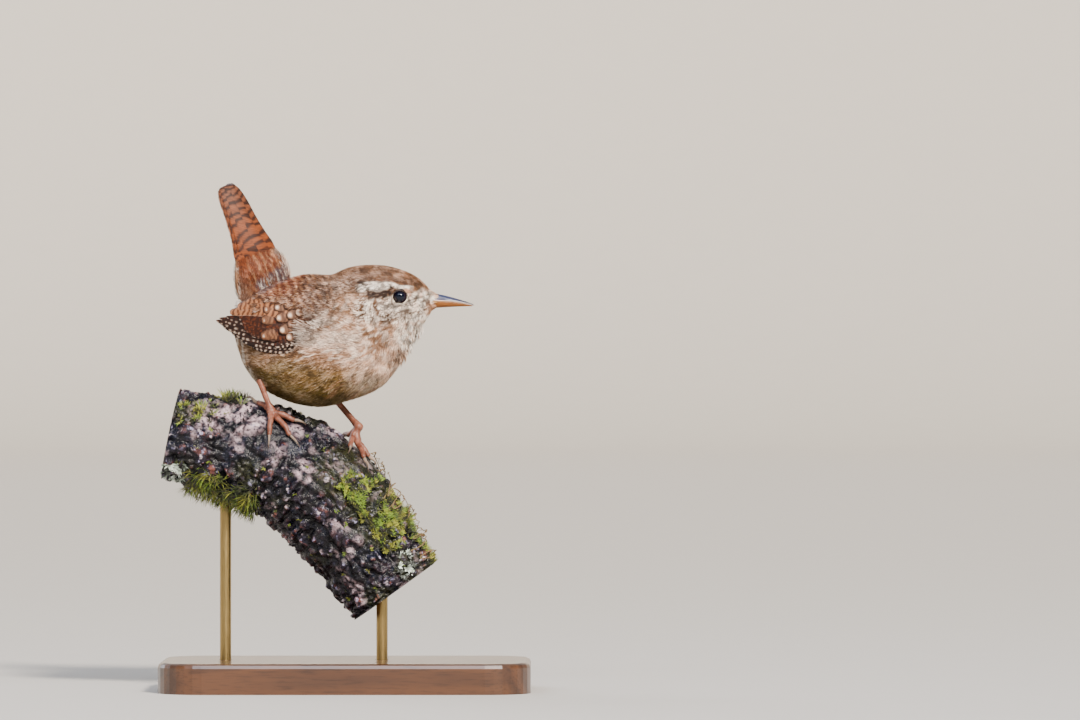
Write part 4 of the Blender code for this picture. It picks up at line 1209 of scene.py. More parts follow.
def make_coat(look):
    """All the loose plumage: the body's regions, flank plumes, tail coverts and thighs."""
    material = plumage("contour_feathers", look)
    warm = plumage("tail_covert_feathers", look, painted_root_shade=0.72, contrast=0.46)
    whole = (-math.pi, math.pi)
    for number, name in enumerate(COAT):
        coat(f"coat_{name}", [body_tufts(name, 100 + number)], material)
    coat("coat_bill_root", [
        grow(bill_cuff, 420, (-0.2, 1.7), whole, 91, lambda s, a: 1.15 + 0.5 * (np.cos(a) > 0.3), 0.15,
             lambda s, a, point: smooth(0.2, 0.7, np.abs(np.cos(a)) + 0.8 - 0.5 * s),
             count=5, spread=0.30, rise=0.05, depth=0.25, span=(-0.6, 3.3)),
    ], material)
    coat("coat_throat_fringe", [
        grow(body, 80, (3.2, 7.6), (2.5, 3.78), 93, 2.6, 0.42, count=4, spread=0.22, rise=1.5, depth=0.3,
             bend=0.2, long=True, patch=(0.5, 0.5, 0.4, 0.4), span=(0.4, 12.0)),
    ], material)
    for side in SIDES:
        loose, over = side_plumes(side)
        coat(f"coat_plumes_{side}", loose, material, change=paler)
        coat(f"coat_shoulder_{side}", over, material)
    span = (0.0, 3.84)
    coat("coat_tail_coverts", [
        grow(tail_root, 2500, (0.1, 3.72), whole, 301, lambda s, a: np.where(np.cos(a) > 0, 3.4, 4.2), 0.28,
             spread=0.26, rise=0.22, depth=0.75, span=span),
    ], warm, change=covert_tints)
    coat("coat_vent_fluff", [
        grow(tail_root, 34, (0.62, 0.95), (2.75, 3.53), 303, 2.3, 0.26, spread=0.9, rise=1.5, depth=0.4,
             turn=math.pi, patch=(0.9, 0.9, 0.09, 0.09), span=span),
        grow(tail_root, 26, (0.58, 0.82), (4.40, 4.72), 304, 2.3, 0.34, count=6, spread=0.6, rise=1.3,
             depth=0.3, turn=1.5, patch=(0.9, 0.8, 0.09, 0.09), span=span),
    ], material, change=pale_down)
    coat("coat_tail_edge_plumes", [
        grow(tail_root, 46, (0.9, 2.5), sector, 305 + k, 3.2, 0.14, count=4, spread=0.35, rise=0.6, depth=0.3,
             long=True, patch=(0.45 * k, 0.45, 0.4, 0.4), span=span)
        for k, sector in enumerate(((-0.35, 0.35), (2.2, 4.1)))
    ], material, change=pale_down)
    for side, leg in LEGS.items():
        tufts = grow(thigh_surface(leg), 800, (0.06, 0.94), whole, 401, 3.0, 0.28, spread=0.30, rise=0.12,
                     depth=0.7, span=(0.02, 0.98))
        coat(f"coat_thigh_{side}", [tufts], material, change=plain)


# Wing feathers of one wing, from root to tip, in the side view.
COVERT_TIPS = {
    "outer": [(-21.6, 103.2), (-21.5, 100.7), (-22.0, 97.8), (-22.1, 93.6)],
    "greater": [(-19.2, 103.8), (-18.6, 101.3), (-18.1, 98.4), (-17.2, 95.2), (-15.4, 93.3)],
    "median": [(-16.2, 104.2), (-16.0, 101.8), (-15.2, 99.1), (-15.0, 96.6), (-12.8, 94.2)],
    "lesser": [(-13.4, 104.6), (-13.4, 102.2), (-13.0, 99.8), (-13.2, 96.7), (-11.0, 95.0)],
    "marginal": [(-10.4, 105.0), (-10.6, 102.6), (-10.4, 100.2), (-10.2, 97.6), (-8.6, 95.8)],
}

COVERT_SPOTS = {
    "outer": (0.2, 0.5, 0.35, 0.5),
    "greater": (0.35, 0.85, 1.0, 1.0, 1.15),
    "median": (0.25, 0.45, 0.95, 0.35, 0.3),
    "lesser": (0.1, 0.35, 1.1, 0.9, 0.2),
    "marginal": (0.1, 0.2, 0.3, 0.35, 0.1),
}
COVERT_LENGTH = {"outer": 8.0, "greater": 8.0, "median": 6.0, "lesser": 5.0, "marginal": 4.6}
COVERT_LAYER = {"outer": -0.16, "greater": -0.05, "median": 0.08, "lesser": 0.16, "marginal": 0.16}


def wing_plan():
    """Each feather of a folded wing: kind, points from root to tip, half width, layer at the root
    and at the tip, and the roundness of its tip. Later feathers lie over earlier ones."""
    plan = []
    tips = [(-24.6, 91.3), (-27.4, 92.8), (-29.9, 94.6), (-32.2, 96.3), (-34.1, 97.9), (-33.2, 98.5),
            (-31.4, 98.9), (-29.6, 99.3), (-28.0, 99.7)]
    for k, tip in enumerate(tips):
        root, near = (-7.5 - 0.3 * k, 93.2 + 0.45 * k), (-14.8, 90.2 + 0.80 * k)
        far = (near[0] * 0.42 + tip[0] * 0.58, near[1] * 0.42 + tip[1] * 0.58 - 0.35)
        plan.append(("primary", [root, near, far, tip], 1.15, -1.15 + 0.06 * k, -1.25 + 0.085 * k, 0.80))
    for j in range(5):
        line = [(-11.0, 94.4 + 1.5 * j), (-17.0, 93.6 + 1.45 * j), (-22.0, 94.4 + 1.35 * j),
                (-26.4 - 0.5 * j, 96.2 + 1.0 * j)]
        plan.append(("secondary", line, 1.45, -0.75 + 0.06 * j, -0.60 + 0.06 * j, 0.75))
    for k, tip in enumerate([(-18.6, 91.1), (-16.9, 91.8), (-15.3, 92.4)]):
        line = [(-8.4, 94.6 + 0.4 * k), (-12.0, 92.6 + 0.5 * k), tip]
        plan.append(("alula", line, 1.1, -0.5 + 0.06 * k, -0.45 + 0.08 * k, 0.7))
    tertials = [
        ([(-12.5, 99.4), (-18.0, 100.0), (-24.5, 100.5), (-30.4, 100.0)], 1.55),
        ([(-12.5, 101.9), (-18.0, 102.4), (-23.5, 102.3), (-28.4, 101.3)], 1.65),
        ([(-12.5, 103.6), (-17.5, 104.2), (-21.5, 103.8), (-26.0, 102.6)], 1.5),
    ]
    for k, (line, half) in enumerate(tertials):
        plan.append(("tertial", line, half, -0.4 + 0.08 * k, -0.25 + 0.12 * k, 0.62))
    for row, places in COVERT_TIPS.items():
        length, layer = COVERT_LENGTH[row], COVERT_LAYER[row]
        for number, (x, z) in reversed(list(enumerate(places))):
            back = (x + length, z + (99.5 - z) * 0.10 + 0.5)
            middle = ((x + back[0]) / 2, (z + back[1]) / 2 + 0.25)
            half = {"outer": 1.8, "greater": 1.8, "median": 1.7}.get(row, 1.6)
            kind = (row, COVERT_SPOTS[row][number])
            plan.append((kind, [back, middle, (x, z)], half, layer - 1.0, layer + 0.20 - 0.03 * number, 0.45))
    return plan


def vane_grid(plan, steps=64, across=8):
    """Side-view places of every feather's vane. A vane is its middle line, plus its half width times
    the place across, along the line's own normal; it starts narrow, and its end is round. Its edge
    is cut by small splits. Also gives mm from root, mm to tip, and the place across."""
    t = np.linspace(0, 1, steps)
    w = np.linspace(-1, 1, across)
    places, near, far, layers = [], [], [], []
    for number, (kind, line, half, low, high, rounding) in enumerate(plan):
        path = resample(line, steps)
        way = unit(np.gradient(path, axis=0))
        normal = np.stack([way[:, 1], -way[:, 0]], -1)
        travelled = np.concatenate([[0], np.cumsum(np.linalg.norm(np.diff(path, axis=0), axis=1))])
        ended = np.clip((t - rounding) / (1.012 - rounding), 0, 1)
        tip = np.sqrt(np.clip(1 - ended ** 2.2, 0.0004, 1))
        if kind == "primary":
            tip = np.clip(1 - ended ** 1.7, 0.02, 1)
        wide = half * np.minimum(1, 0.35 + 2.6 * t) * tip
        jag = 1 - 0.16 * noise(t * 34 + number * 7, np.full(steps, number * 3.3), 51) ** 2
        share = w[None, :] * np.where(np.abs(w[None, :]) > 0.95, jag[:, None], 1.0)
        places.append(path[:, None] + normal[:, None] * (wide[:, None] * share)[..., None])
        near.append(np.broadcast_to(travelled[:, None], (steps, across)))
        far.append(np.broadcast_to((travelled[-1] - travelled)[:, None], (steps, across)))
        crown = 0.16 * (1 - w[None, :] ** 2) * tip[:, None]
        layers.append((low + (high - low) * t)[:, None] + crown)
    return np.array(places), np.array(near), np.array(far), np.array(layers), w


def vane_tints(kind, near, far, w, pick):
    """The markings of one wing feather from mm along it and the place across it: chequered outer
    webs, slanting bars, or a spot at the tip with a dark border, and painted shade at the coverts'
    tips and along one edge of each tertial."""
    tints = {name: np.zeros(near.shape) for name in TINTS}
    w = np.broadcast_to(w[None, :], near.shape)
    wobble = noise(near * 0.8 + pick * 31, w * 1.6 + pick * 17, 71) - 0.5
    if kind in ("primary", "alula"):
        wave = np.sin(TAU * (near / 1.30 + 0.55 * wobble + pick) - w * 1.0)
        outer = smooth(-0.20, -0.50, w) * smooth(-1.02, -0.86, w)
        kept = smooth(0.16, 0.28, noise(near * 0.9 + pick * 50, w * 0 + pick * 9, 74))
        spot = smooth(-0.35, 0.55, wave) * outer * kept * (0.55 + 0.45 * pick)
        tints["buff"] = 0.9 * spot
        tints["cream"] = 0.72 * spot
        tints["dark"] = (0.97 - 0.25 * smooth(0.2, 0.8, wave) * smooth(-0.2, 0.3, w)) * (1 - spot)
        tints["rufous"] = 0.6 * smooth(-0.2, 0.3, w) + 0.2
    elif kind == "secondary":
        wave = np.sin(TAU * (near / 1.5 + 1.4 * wobble + pick) - w * 1.8)
        light = smooth(0.0, 0.9, wave) * smooth(0.25, -0.35, w) * (0.55 + 0.45 * pick)
        tints["dark"] = 0.90 * (1 - 0.62 * light)
        tints["rufous"] = np.full(near.shape, 0.85)
        tints["cream"] = 0.16 * light * smooth(-0.45, -0.8, w)
    elif kind == "tertial":
        wave = np.sin(TAU * (near / 1.35 + 0.5 * wobble + 1.7 * pick) + w * 2.2)
        dark = smooth(0.20, 0.75, wave) * smooth(1.0, 0.75, np.abs(w))
        tints["rufous"] = np.full(near.shape, 0.88)
        tints["buff"] = 0.27 + 0.30 * smooth(0.3, -0.3, wave)
        # The dark along the edge where w is above 0.62 is a painted shadow line along each tertial.
        tints["dark"] = np.maximum(0.74 * dark, 0.92 * smooth(0.62, 0.92, w))
        tints["cream"] = 0.15 * smooth(-0.75, -0.95, w)
    else:
        size = kind[1]
        away = np.hypot((far - 0.85) / (0.42 * size + 0.05), (w + 0.05) / (0.34 * size + 0.05))
        torn = noise(near * 4.0 - 5 * np.abs(w), w * 2.0 + pick * 9, 75)
        spot = smooth(1.7, 0.25, away) * min(1.0, 0.3 + size) * smooth(0.0, 0.45, torn + 0.25 * (away < 0.8))
        # Painted shade at the tip and along the side edges near it, where each covert lies over the next.
        painted_gap_shade = smooth(0.55, 0.15, far) + smooth(0.45, 0.9, np.abs(w)) * smooth(5.0, 3.0, far)
        wave = np.sin(TAU * (near / 1.25 + 1.1 * wobble + pick) + np.abs(w) * 1.5)
        tints["rufous"] = np.full(near.shape, 0.30 - 0.20 * pick)
        tints["buff"] = np.maximum(0.10 + 0.20 * smooth(0.1, 0.7, -wave), 0.7 * smooth(2.3, 1.2, away) * size)
        bars = smooth(0.0, 0.7, wave) * smooth(1.2, 2.4, far)
        behind = smooth(2.6, 1.9, far) * smooth(1.3, 1.8, far) * min(1.0, 0.3 + size)
        tints["dark"] = np.clip(np.maximum(np.maximum(0.56 * bars, 0.55 * behind), 0.85 * painted_gap_shade), 0.16,
                                0.88) * (1 - spot)
        tints["cream"] = 0.60 * spot
    return tints


def write_vanes(name, top, normals, found, material, near, w, columns, thickness=0.11):
    """The feathers as one piece of closed thin plates: each ring goes over the top and back below it.
    They carry their tints, a random tone for each, mm along the barbs, and the shaft."""
    ring = np.concatenate([top, (top - normals * thickness)[:, :, ::-1]], axis=2)
    corner, ahead, beside = ring[0, 30, 5], ring[0, 31, 5], ring[0, 30, 6]
    inside_out = np.dot(np.cross(ahead - corner, beside - corner), normals[0, 30, 5]) < 0
    turned = slice(None, None, -1 if inside_out else 1)
    pick = lattice(np.arange(len(top)), np.arange(len(top)) * 3, 5)[:, None, None]
    marks = {key: np.array([tints[key] for tints in found]) for key in TINTS}
    marks.update(tone=0.35 + 0.35 * pick, along=1.0, barb=near - 1.4 * np.abs(w) + 40 * pick,
                 shaft=smooth(0.12, 0.02, np.abs(w)))
    for key, value in marks.items():
        value = np.broadcast_to(value, near.shape)
        marks[key] = np.concatenate([value, value[..., ::-1]], axis=-1)[:, :, turned]
    return write_loft(name, ring[:, :, turned], material, marks, columns)


def vane_material(look):
    """Flight feathers: flat firm vanes whose barbs lie side by side, with a faint silky gloss and a
    shaft. The barbs, a tenth of a mm apart in life, are drawn a quarter of a mm apart to show."""
    material = plumage("flight_vanes", look, contrast=0.22)
    tree = material.node_tree
    shader = tree.nodes["Principled BSDF"].inputs
    shader["Roughness"].default_value = 0.55
    shader["Sheen Weight"].default_value = 0.02
    barb, shaft = attributes(tree, "barb", "shaft")
    lines = add(tree, "TexNoise", {"W": barb, "Scale": 4.0, "Detail": 2.0}, noise_dimensions="1D")
    tone = add(tree, "MapRange", {0: lines, 1: 0.3, 2: 0.7, 3: 0.74, 4: 1.2})
    darker = add(tree, "MapRange", {0: shaft, 3: 1.0, 4: 0.62})
    colour = paint(tree, shader["Base Color"].links[0].from_socket, [], [tone, darker])
    dress(tree, colour, lines, 0.45, 0.00012)
    return material


def make_wings(look):
    """Two folded wings of overlapping feathers that lie on the frame's outer wing face."""
    material = vane_material(look)
    plan = wing_plan()
    places, near, far, layers, w = vane_grid(plan)
    reach = wing_reach(places[..., 0].ravel(), places[..., 1].ravel()).reshape(layers.shape) + layers
    found = [vane_tints(feather[0], near[k], far[k], w, float(lattice(np.array(k), np.array(k * 5), 2)))
             for k, feather in enumerate(plan)]
    for side, way in SIDES.items():
        top = np.stack([places[..., 0], way * reach, places[..., 1]], -1)
        normal = unit(np.cross(np.gradient(top, axis=1), np.gradient(top, axis=2)))
        normal = np.where(normal[..., 1:2] * way < 0, -normal, normal)
        wing = write_vanes(f"wing_feathers_{side}", top, normal, found, material, near, w, 8)
        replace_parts(wing, f"wing_{side}")


# The tail's six pairs of feathers, middle pair first: where each ends on the tail's rows, its angle
# on the arch, and its half width as an angle.
TAIL_FEATHERS = [(8.0, 0.16, 0.60), (7.97, 0.62, 0.48), (7.9, 0.98, 0.36), (7.8, 1.18, 0.30),
                 (7.62, 1.30, 0.26), (7.3, 1.38, 0.22)]


def make_tail(look):
    """Twelve tail feathers on the arch, the middle pair on top. Each is a strip of the arch about
    its own angle, round at the end, with a dozen dark bars that arch up at the shaft."""
    material = vane_material(look)
    t, w = np.linspace(0, 1, 112)[:, None], np.linspace(-1, 1, 12)[None, :]
    tip = np.sqrt(np.clip(1 - np.clip((t - 0.90) / 0.102, 0, 1) ** 2, 0.0005, 1))
    edge = smooth(0.82, 0.97, np.abs(w))
    tops, normals, nears, found = [], [], [], []
    for k, way in [(k, way) for k in range(5, -1, -1) for way in (-1, 1)]:
        end, place_on_arch, half = TAIL_FEATHERS[k]
        at = 2.3 + (end - 2.3) * t
        jag = 1 - 0.10 * noise(t * 60 + k * 5, np.array(k * 2.7 + way), 81) ** 2
        fray = noise(np.array(k * 9.0 + way), w * 6, 83) - 0.8
        across = half * np.minimum(1, 0.6 + 2 * t) * tip * w * np.where(np.abs(w) > 0.95, jag, 1)
        angle = np.clip(way * (place_on_arch + 0.02 * smooth(0.5, 1, t)) + across, -1.62, 1.62)
        frayed = np.clip(at + 0.42 * fray * smooth(0.88, 1, t), 0, 8)
        point, _, _, normal = tangents(tail_arch, frayed, angle)
        layer = 0.02 - 0.06 * k + 0.10 * (1 - w ** 2) * tip - 0.9 * smooth(0.2, 0, t)
        tops.append(point + normal * (layer - 0.25)[..., None])
        normals.append(normal)
        near = np.broadcast_to(at * 4.55, angle.shape)
        nears.append(near)
        wobble = noise(near * 0.5 + k * 13, w * 1.3 + way * 7, 85) - 0.5
        phase = (near - 0.95 * (1 - w ** 2) + 1.9 * wobble + 0.30 * k * (-1) ** k) / 2.35
        bars = smooth(-0.25, 0.75, np.sin(TAU * phase)) * smooth(11, 15, near)
        fleck = smooth(0.42, 0.66, noise(near * 3.2, w * 3 + k, 86))
        dark = 0.84 * bars + 0.26 * fleck + 0.16 * smooth(20, 33, near)
        found.append({
            "rufous": 0.98 - 0.36 * smooth(14, 34, near),
            "buff": 0.06 + 0.06 * smooth(16, 34, near),
            "olive": np.zeros(near.shape),
            "grey": 0.85 * smooth(2.6, 0.8, near.max() - near) + 0.08 * smooth(20, 34, near),
            "cream": 0.40 * edge * (k == 5) * smooth(14, 20, near),
            "dark": np.clip(dark, 0, 0.90) * (1 - 0.3 * edge),
        })
    tail = write_vanes("tail_feathers", np.array(tops), np.array(normals), found, material,
                       np.array(nears), w, 6, thickness=0.14)
    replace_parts(tail, "tail")


def noise3(x, y, z, seed=0):
    """Value noise in space: two sheets of flat noise blended by an S."""
    k = np.floor(z).astype(np.int64)
    t = z - k
    t = t * t * (3 - 2 * t)
    return noise(x, y, seed + k * 57) * (1 - t) + noise(x, y, seed + (k + 1) * 57) * t


def branch(at, angle):
    """The branch as the frame has it: its middle line, plus a lumpy radius times the direction that
    the angle gives, from the top, + to the bird's left."""
    row = through(PERCH, at)
    ahead, behind = through(PERCH, np.minimum(at + 0.05, 7)), through(PERCH, np.maximum(at - 0.05, 0))
    way = unit(ahead[..., 0:2] - behind[..., 0:2])
    lump = np.sin(2 * angle + 1.7 * at) + 0.6 * np.sin(3 * angle - 2.3 * at + 1.0)
    reach = row[..., 2] * (1 + 0.021 * lump)
    return np.stack([
        row[..., 0] - way[..., 1] * reach * np.cos(angle),
        PERCH_Y + reach * np.sin(angle),
        row[..., 1] + way[..., 0] * reach * np.cos(angle),
    ], -1)


def near_feet(points):
    """1 at the feet and 0 from a few mm away, so that the toes lie on firm even bark."""
    tree = bark_tree()
    stands = []
    for side, leg in LEGS.items():
        plan = foot_plan(side, leg, tree)
        stands.append(plan["ankle"][None])
        for path, _, claw, _ in plan["toes"].values():
            stands += [path, claw]
    stands = np.concatenate(stands)
    away = np.full(len(points), 1e9)
    for stand in stands:
        away = np.minimum(away, np.linalg.norm(points - stand, axis=1))
    return smooth(3.0, 1.3, away)


def bark_relief(at, angle):
    """How far the bark stands out from the frame's branch, in mm: lumps, lengthwise ridges with
    sharp crests, cracks between them and fine grit. Also where the cracks and the scales are."""
    radius = through(PERCH, at)[..., 2]
    x, y, along = radius * np.cos(angle), radius * np.sin(angle), at * 11.5

    def folds(across, length, seed):
        return np.abs(2 * noise3(x * across, y * across, along * length, seed) - 1)

    lumps = noise3(x * 0.20, y * 0.20, along * 0.16, 3) - 0.5
    ridge = 1 - folds(0.50, 0.17, 5)
    crack = smooth(0.055, 0.0, np.abs(noise3(x * 0.34 + 9, y * 0.34, along * 0.13, 7) - 0.5))
    grit = noise3(x * 3.1, y * 3.1, along * 2.6, 11) - 0.5
    crumbs = folds(0.42, 0.40, 13) + 0.55 * folds(0.95, 0.9, 15)
    relief = 0.9 * lumps + 0.35 * (ridge ** 2 - 0.45) + 2.1 * (crumbs - 0.62) + 0.16 * grit - 0.75 * crack
    return relief, crack, 1 - folds(1.1, 0.55, 9)


def bark_material(look):
    """Old wet bark: near-black and faintly violet, glossy where it is smooth, with pinkish-white
    crusts that are matt, and green stains; its raised crests are painted lighter, with painted
    glints on them. Its sawn ends are pale wood with growth rings."""
    material, tree, place = begin("wet_bark", Specular_IOR_Level=0.32)
    crest, crust, moss, sawn, pith = attributes(tree, "crest", "crust", "moss", "sawn", "pith")
    fine = add(tree, "TexNoise", {"Vector": place, "Scale": 1500.0, "Detail": 6.0, "Roughness": 0.62})
    broad = add(tree, "TexNoise", {"Vector": place, "Scale": 260.0, "Detail": 4.0})
    layers = [(add(tree, "MapRange", {0: broad, 1: 0.42, 2: 0.62}), linear("#070b1a")),
              # The violet over the crests is painted light on the bark's raised relief.
              (add(tree, "Math", {0: crest, 1: 0.42}, operation="MULTIPLY"), linear("#3a2c3a"))]
    raised = add(tree, "MapRange", {0: crest, 1: 0.10, 2: 0.55, 3: 0.08})
    cluster = add(tree, "MapRange", {0: broad, 1: 0.46, 2: 0.58, 3: 0.12})
    high = add(tree, "Math", {0: raised, 1: cluster}, operation="MULTIPLY")
    # Chips on the lit crests: the purple-brown ones are the bark's own flecks; the blue-white and
    # pinkish-white ones are painted glints.
    for scale, low, tint in ((480.0, 0.52, "#7c4a40"), (900.0, 0.57, "#a9a4c9"), (640.0, 0.59, "#e6d3da")):
        chips = add(tree, "TexNoise", {"Vector": place, "Scale": scale, "Detail": 3.0})
        chip = add(tree, "MapRange", {0: chips, 1: low, 2: low + 0.07, 4: 0.85})
        layers.append((add(tree, "Math", {0: chip, 1: high}, operation="MULTIPLY"), linear(tint)))
    speck = add(tree, "MapRange", {0: fine, 1: 0.40, 2: 0.50})
    crusted, green = (add(tree, "Math", {0: mark, 1: speck}, operation="MULTIPLY") for mark in (crust, moss))
    turned = add(tree, "Math", {0: pith, 1: 5.2}, operation="MULTIPLY")
    wave = add(tree, "Math", {0: turned}, operation="SINE")
    ring = add(tree, "MapRange", {0: wave, 1: -1.0, 2: 1.0})
    layers += [
        (crusted, paint(tree, linear("#8f757d"), [(broad, look.crust)])),
        (green, linear("#3c4018")),
        (sawn, paint(tree, linear("#8d6a45"), [(ring, linear("#c3a273"))])),
    ]
    grit = add(tree, "MapRange", {0: fine, 1: 0.25, 2: 0.75, 3: 0.62, 4: 1.32})
    wet = add(tree, "MapRange", {0: fine, 1: 0.35, 2: 0.65, 3: 0.10, 4: 0.42})
    matt = add(tree, "Mix", {0: crusted, 2: wet, 3: 0.85})
    rough = add(tree, "Mix", {0: sawn, 2: matt, 3: 0.75})
    dress(tree, paint(tree, look.bark, layers, [grit]), fine, 0.55, 0.0005, rough)
    return material


def leafy(name, dark, pale, fresher, rough):
    """Moss or lichen: thin leaves, matt and a little see-through, paler at their ends."""
    material, tree, place = begin(name, Roughness=rough, Specular_IOR_Level=0.3, Sheen_Weight=0.2)
    along, tone = attributes(tree, "along", "tone")
    clump = add(tree, "TexNoise", {"Vector": place, "Scale": 330.0})
    fresh = add(tree, "MapRange", {0: clump, 1: 0.42, 2: 0.58, 4: 0.75})
    shade = add(tree, "MapRange", {0: tone, 1: 0.25, 2: 0.80, 3: 0.08, 4: 1.7})
    tip = paint(tree, pale, [(fresh, fresher)])
    dress(tree, paint(tree, dark, [(along, tip)], [shade]))
    return material


# What grows on the branch: stations, angles in degrees, tufts, leaf length and width, and lift.
GROWTH = {
    "moss_tuft": (1.02, 1.42, -30, 24, 44, 3.0, 0.34, 2.4),
    "moss_front": (4.0, 5.8, -72, -16, 780, 1.4, 0.34, 0.9),
    "moss_edge": (5.2, 6.9, -30, 50, 360, 1.9, 0.28, 1.4),
    "moss_back": (2.2, 6.6, 70, 160, 420, 1.4, 0.28, 0.8),
    "moss_hanging": (0.7, 2.5, 150, 235, 300, 4.0, 0.26, 3.2),
    "moss_left": (0.2, 0.9, -75, -35, 130, 1.5, 0.28, 0.9),
    "moss_scraps": (0.3, 6.7, -150, 30, 130, 1.1, 0.26, 0.6),
    "lichen_side": (6.0, 6.7, -70, -44, 14, 1.4, 0.60, 0.6),
    "lichen_end": (0.05, 0.6, -165, -122, 34, 1.7, 0.70, 0.7),
}


def make_perch(look):
    """The cut branch: rings along it whose radius is the frame's plus the bark's relief, closed by
    two flat sawn faces that are drawn in to the pith ring by ring."""
    rings, sides, steps, end = 184, 208, 10, 7.0
    share = np.linspace(1, 0.02, steps)
    at = np.concatenate([np.zeros(steps - 1), np.linspace(0, end, rings), np.full(steps - 1, end)])
    inward = np.concatenate([share[::-1][:-1], np.ones(rings), share[1:]])
    at, angle, inward = np.broadcast_arrays(at[:, None], turns(sides), inward[:, None])
    base, row = branch(at, angle), through(PERCH, at)
    middle = np.stack([row[..., 0], np.full(at.shape, PERCH_Y), row[..., 1]], -1)
    relief, crack, scale = bark_relief(at, angle)
    firm = near_feet(base.reshape(-1, 3)).reshape(at.shape)
    relief = relief * (1 - firm) - 0.06 * firm
    relief = relief * (0.35 + 0.65 * smooth(0.0, 0.10, np.minimum(at, end - at)))
    out = unit(base - middle) * np.clip(relief, -1.5, 0.7)[..., None]
    grid = middle + (base + out - middle) * inward[..., None]
    x, y, z = np.moveaxis(base, -1, 0)
    patch = stroke(x, z, [(-36, 73), (-31, 72), (-25, 72.5)], 2.2, 3.5) * (y < 6)
    patch = np.maximum(patch, 0.9 * stroke(x, z, [(-11, 59), (-9.5, 57)], 1.6, 1.6) * (y < 6))
    patch = np.maximum(patch, 0.55 * smooth(0.66, 0.78, noise3(x * 0.25, y * 0.25, z * 0.25, 91)))
    patch = patch * smooth(0.30, 0.62, noise3(x * 0.75, y * 0.75, z * 0.75, 93))
    moss = 0.3 * smooth(0.55, 0.76, noise3(x * 0.12 + 5, y * 0.12, z * 0.12, 95))
    marks = {
        # The crest value marks the raised relief that the bark's colour paints lighter, as painted light.
        "crest": smooth(-0.2, 0.75, relief) * (1 - crack) * (0.5 + 0.5 * scale),
        "crust": np.clip(patch, 0, 1) * (1 - crack),
        "moss": np.maximum(moss, 0.35 * stroke(x, z, [(-1, 58), (5, 52), (10, 45)], 5.0, 4.0) * (y < 8)),
        "sawn": (inward < 0.985).astype(float),
        "pith": inward * 13 + 0.5 * noise(x * 0.4, y * 0.4, 97),
    }
    turned = face_out(grid)
    if turned is not grid:
        marks = {key: value[:, ::-1] for key, value in marks.items()}
    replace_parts(write_loft("branch_bark", turned[None], bark_material(look), marks), "perch")
    green = leafy("moss_leaves", linear("#3c3f16"), look.moss, linear("#4f7a1c"), 0.6)
    grey = leafy("lichen_lobes", linear("#6f7a68"), look.lichen, linear("#e6efe8"), 0.8)
    batches = {"moss": [], "lichen": []}
    for number, (name, row) in enumerate(GROWTH.items()):
        s0, s1, a0, a1, count, length, width, rise = row
        s, a = scatter(count, (s0, s1), (math.radians(a0), math.radians(a1)), branch)
        kept = noise(s * 5 + number, a * 4, 99) > (0.42 if count > 100 else 0.0)
        kept &= near_feet(branch(s, a)) < 0.05
        s, a = s[kept], a[kept]
        batches[name.split("_")[0]].append(barbs(
            branch, s, a, 500 + number, length, width, spread=1.5, rise=rise, depth=0.5,
            turn=TAU * noise(s * 31, a * 17, 101), patch=(0.0, number / 9, 1.0, 0.11), span=(0.0, end)))
    coat("moss_on_branch", batches["moss"], green)
    coat("lichen_on_branch", batches["lichen"], grey)
    make_rootlets()


def make_rootlets():
    """Thin dry rootlets that lie across the bark: tubes along wandering lines on the branch."""
    grids = []
    t = np.linspace(0, 1, 60)
    for k in range(6, 21):
        at = 4.3 + 0.15 * (k - 6) + t * (0.5 * math.sin(k * 1.7)) + 0.08 * np.sin(t * 9 + k)
        angle = -0.55 + 0.09 * (k % 9) + (0.9 - 0.35 * (k % 4)) * t + 0.25 * np.sin(t * 8 + 2 * k)
        at = np.clip(at, 0.05, 6.9)
        point, _, _, out = tangents(branch, at, angle)
        lift = 0.28 + 0.22 * np.sin(t * 11 + k * 3) + 1.5 * np.sin(np.pi * t) ** 2 + 1.6 * t ** 3
        path = point + out * (np.maximum(bark_relief(at, angle)[0], -0.3) + lift)[:, None]
        size = 0.14 * (1 - 0.7 * t) + 0.03
        grids.append(face_out(sweep(path, size, size, out, 8)))
    made = horn("dry_rootlet", linear("#7b6746"), linear("#a08a62"), linear("#7b6746"), rough=0.7)
    write_loft("rootlets", np.array(grids), made, columns=3)


def dress_stand(look):
    """Gives the frame's base a varnished walnut finish and its rods a satin brass one."""
    wood, tree, place = begin("varnished_walnut", Roughness=0.32, Coat_Weight=0.5, Coat_Roughness=0.12)
    # Walnut's growth lines lie 2 to 3 mm apart, drawn out along the board.
    turned = add(tree, "Mapping", {"Vector": place, "Scale": (0.09, 1.0, 1.0)})
    warp = add(tree, "TexNoise", {"Vector": turned, "Scale": 95.0, "Detail": 4.0})
    wave = add(tree, "TexWave", {"Vector": turned, "Scale": 70.0, "Distortion": 7.0, "Detail": 3.0,
                                 "Detail Scale": 1.6}, "Fac", bands_direction="Y")
    pores = add(tree, "TexNoise", {"Vector": turned, "Scale": 1900.0, "Detail": 3.0})
    figure = add(tree, "Mix", {0: 0.5, 2: warp, 3: wave})
    pore = add(tree, "MapRange", {0: pores, 1: 0.3, 2: 0.5, 3: 0.55})
    colour = paint(tree, linear("#2f1b10"), [(figure, look.walnut)], [pore])
    dress(tree, colour, pores, 0.12, 0.0001)
    brass, tree, place = begin("satin_brass", Metallic=1.0, Roughness=0.3)
    drawn = add(tree, "Mapping", {"Vector": place, "Scale": (1.0, 1.0, 0.05)})
    lines = add(tree, "TexNoise", {"Vector": drawn, "Scale": 5200.0, "Detail": 2.0})
    rough = add(tree, "MapRange", {0: lines, 3: 0.22, 4: 0.42})
    dress(tree, paint(tree, linear("#8f7748"), [(lines, look.brass)]), rough=rough)
    for node, finish in (("stand_base", wood), ("stand_rod_front", brass), ("stand_rod_rear", brass)):
        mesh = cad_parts[node].data
        mesh.materials.clear()
        mesh.materials.append(finish)


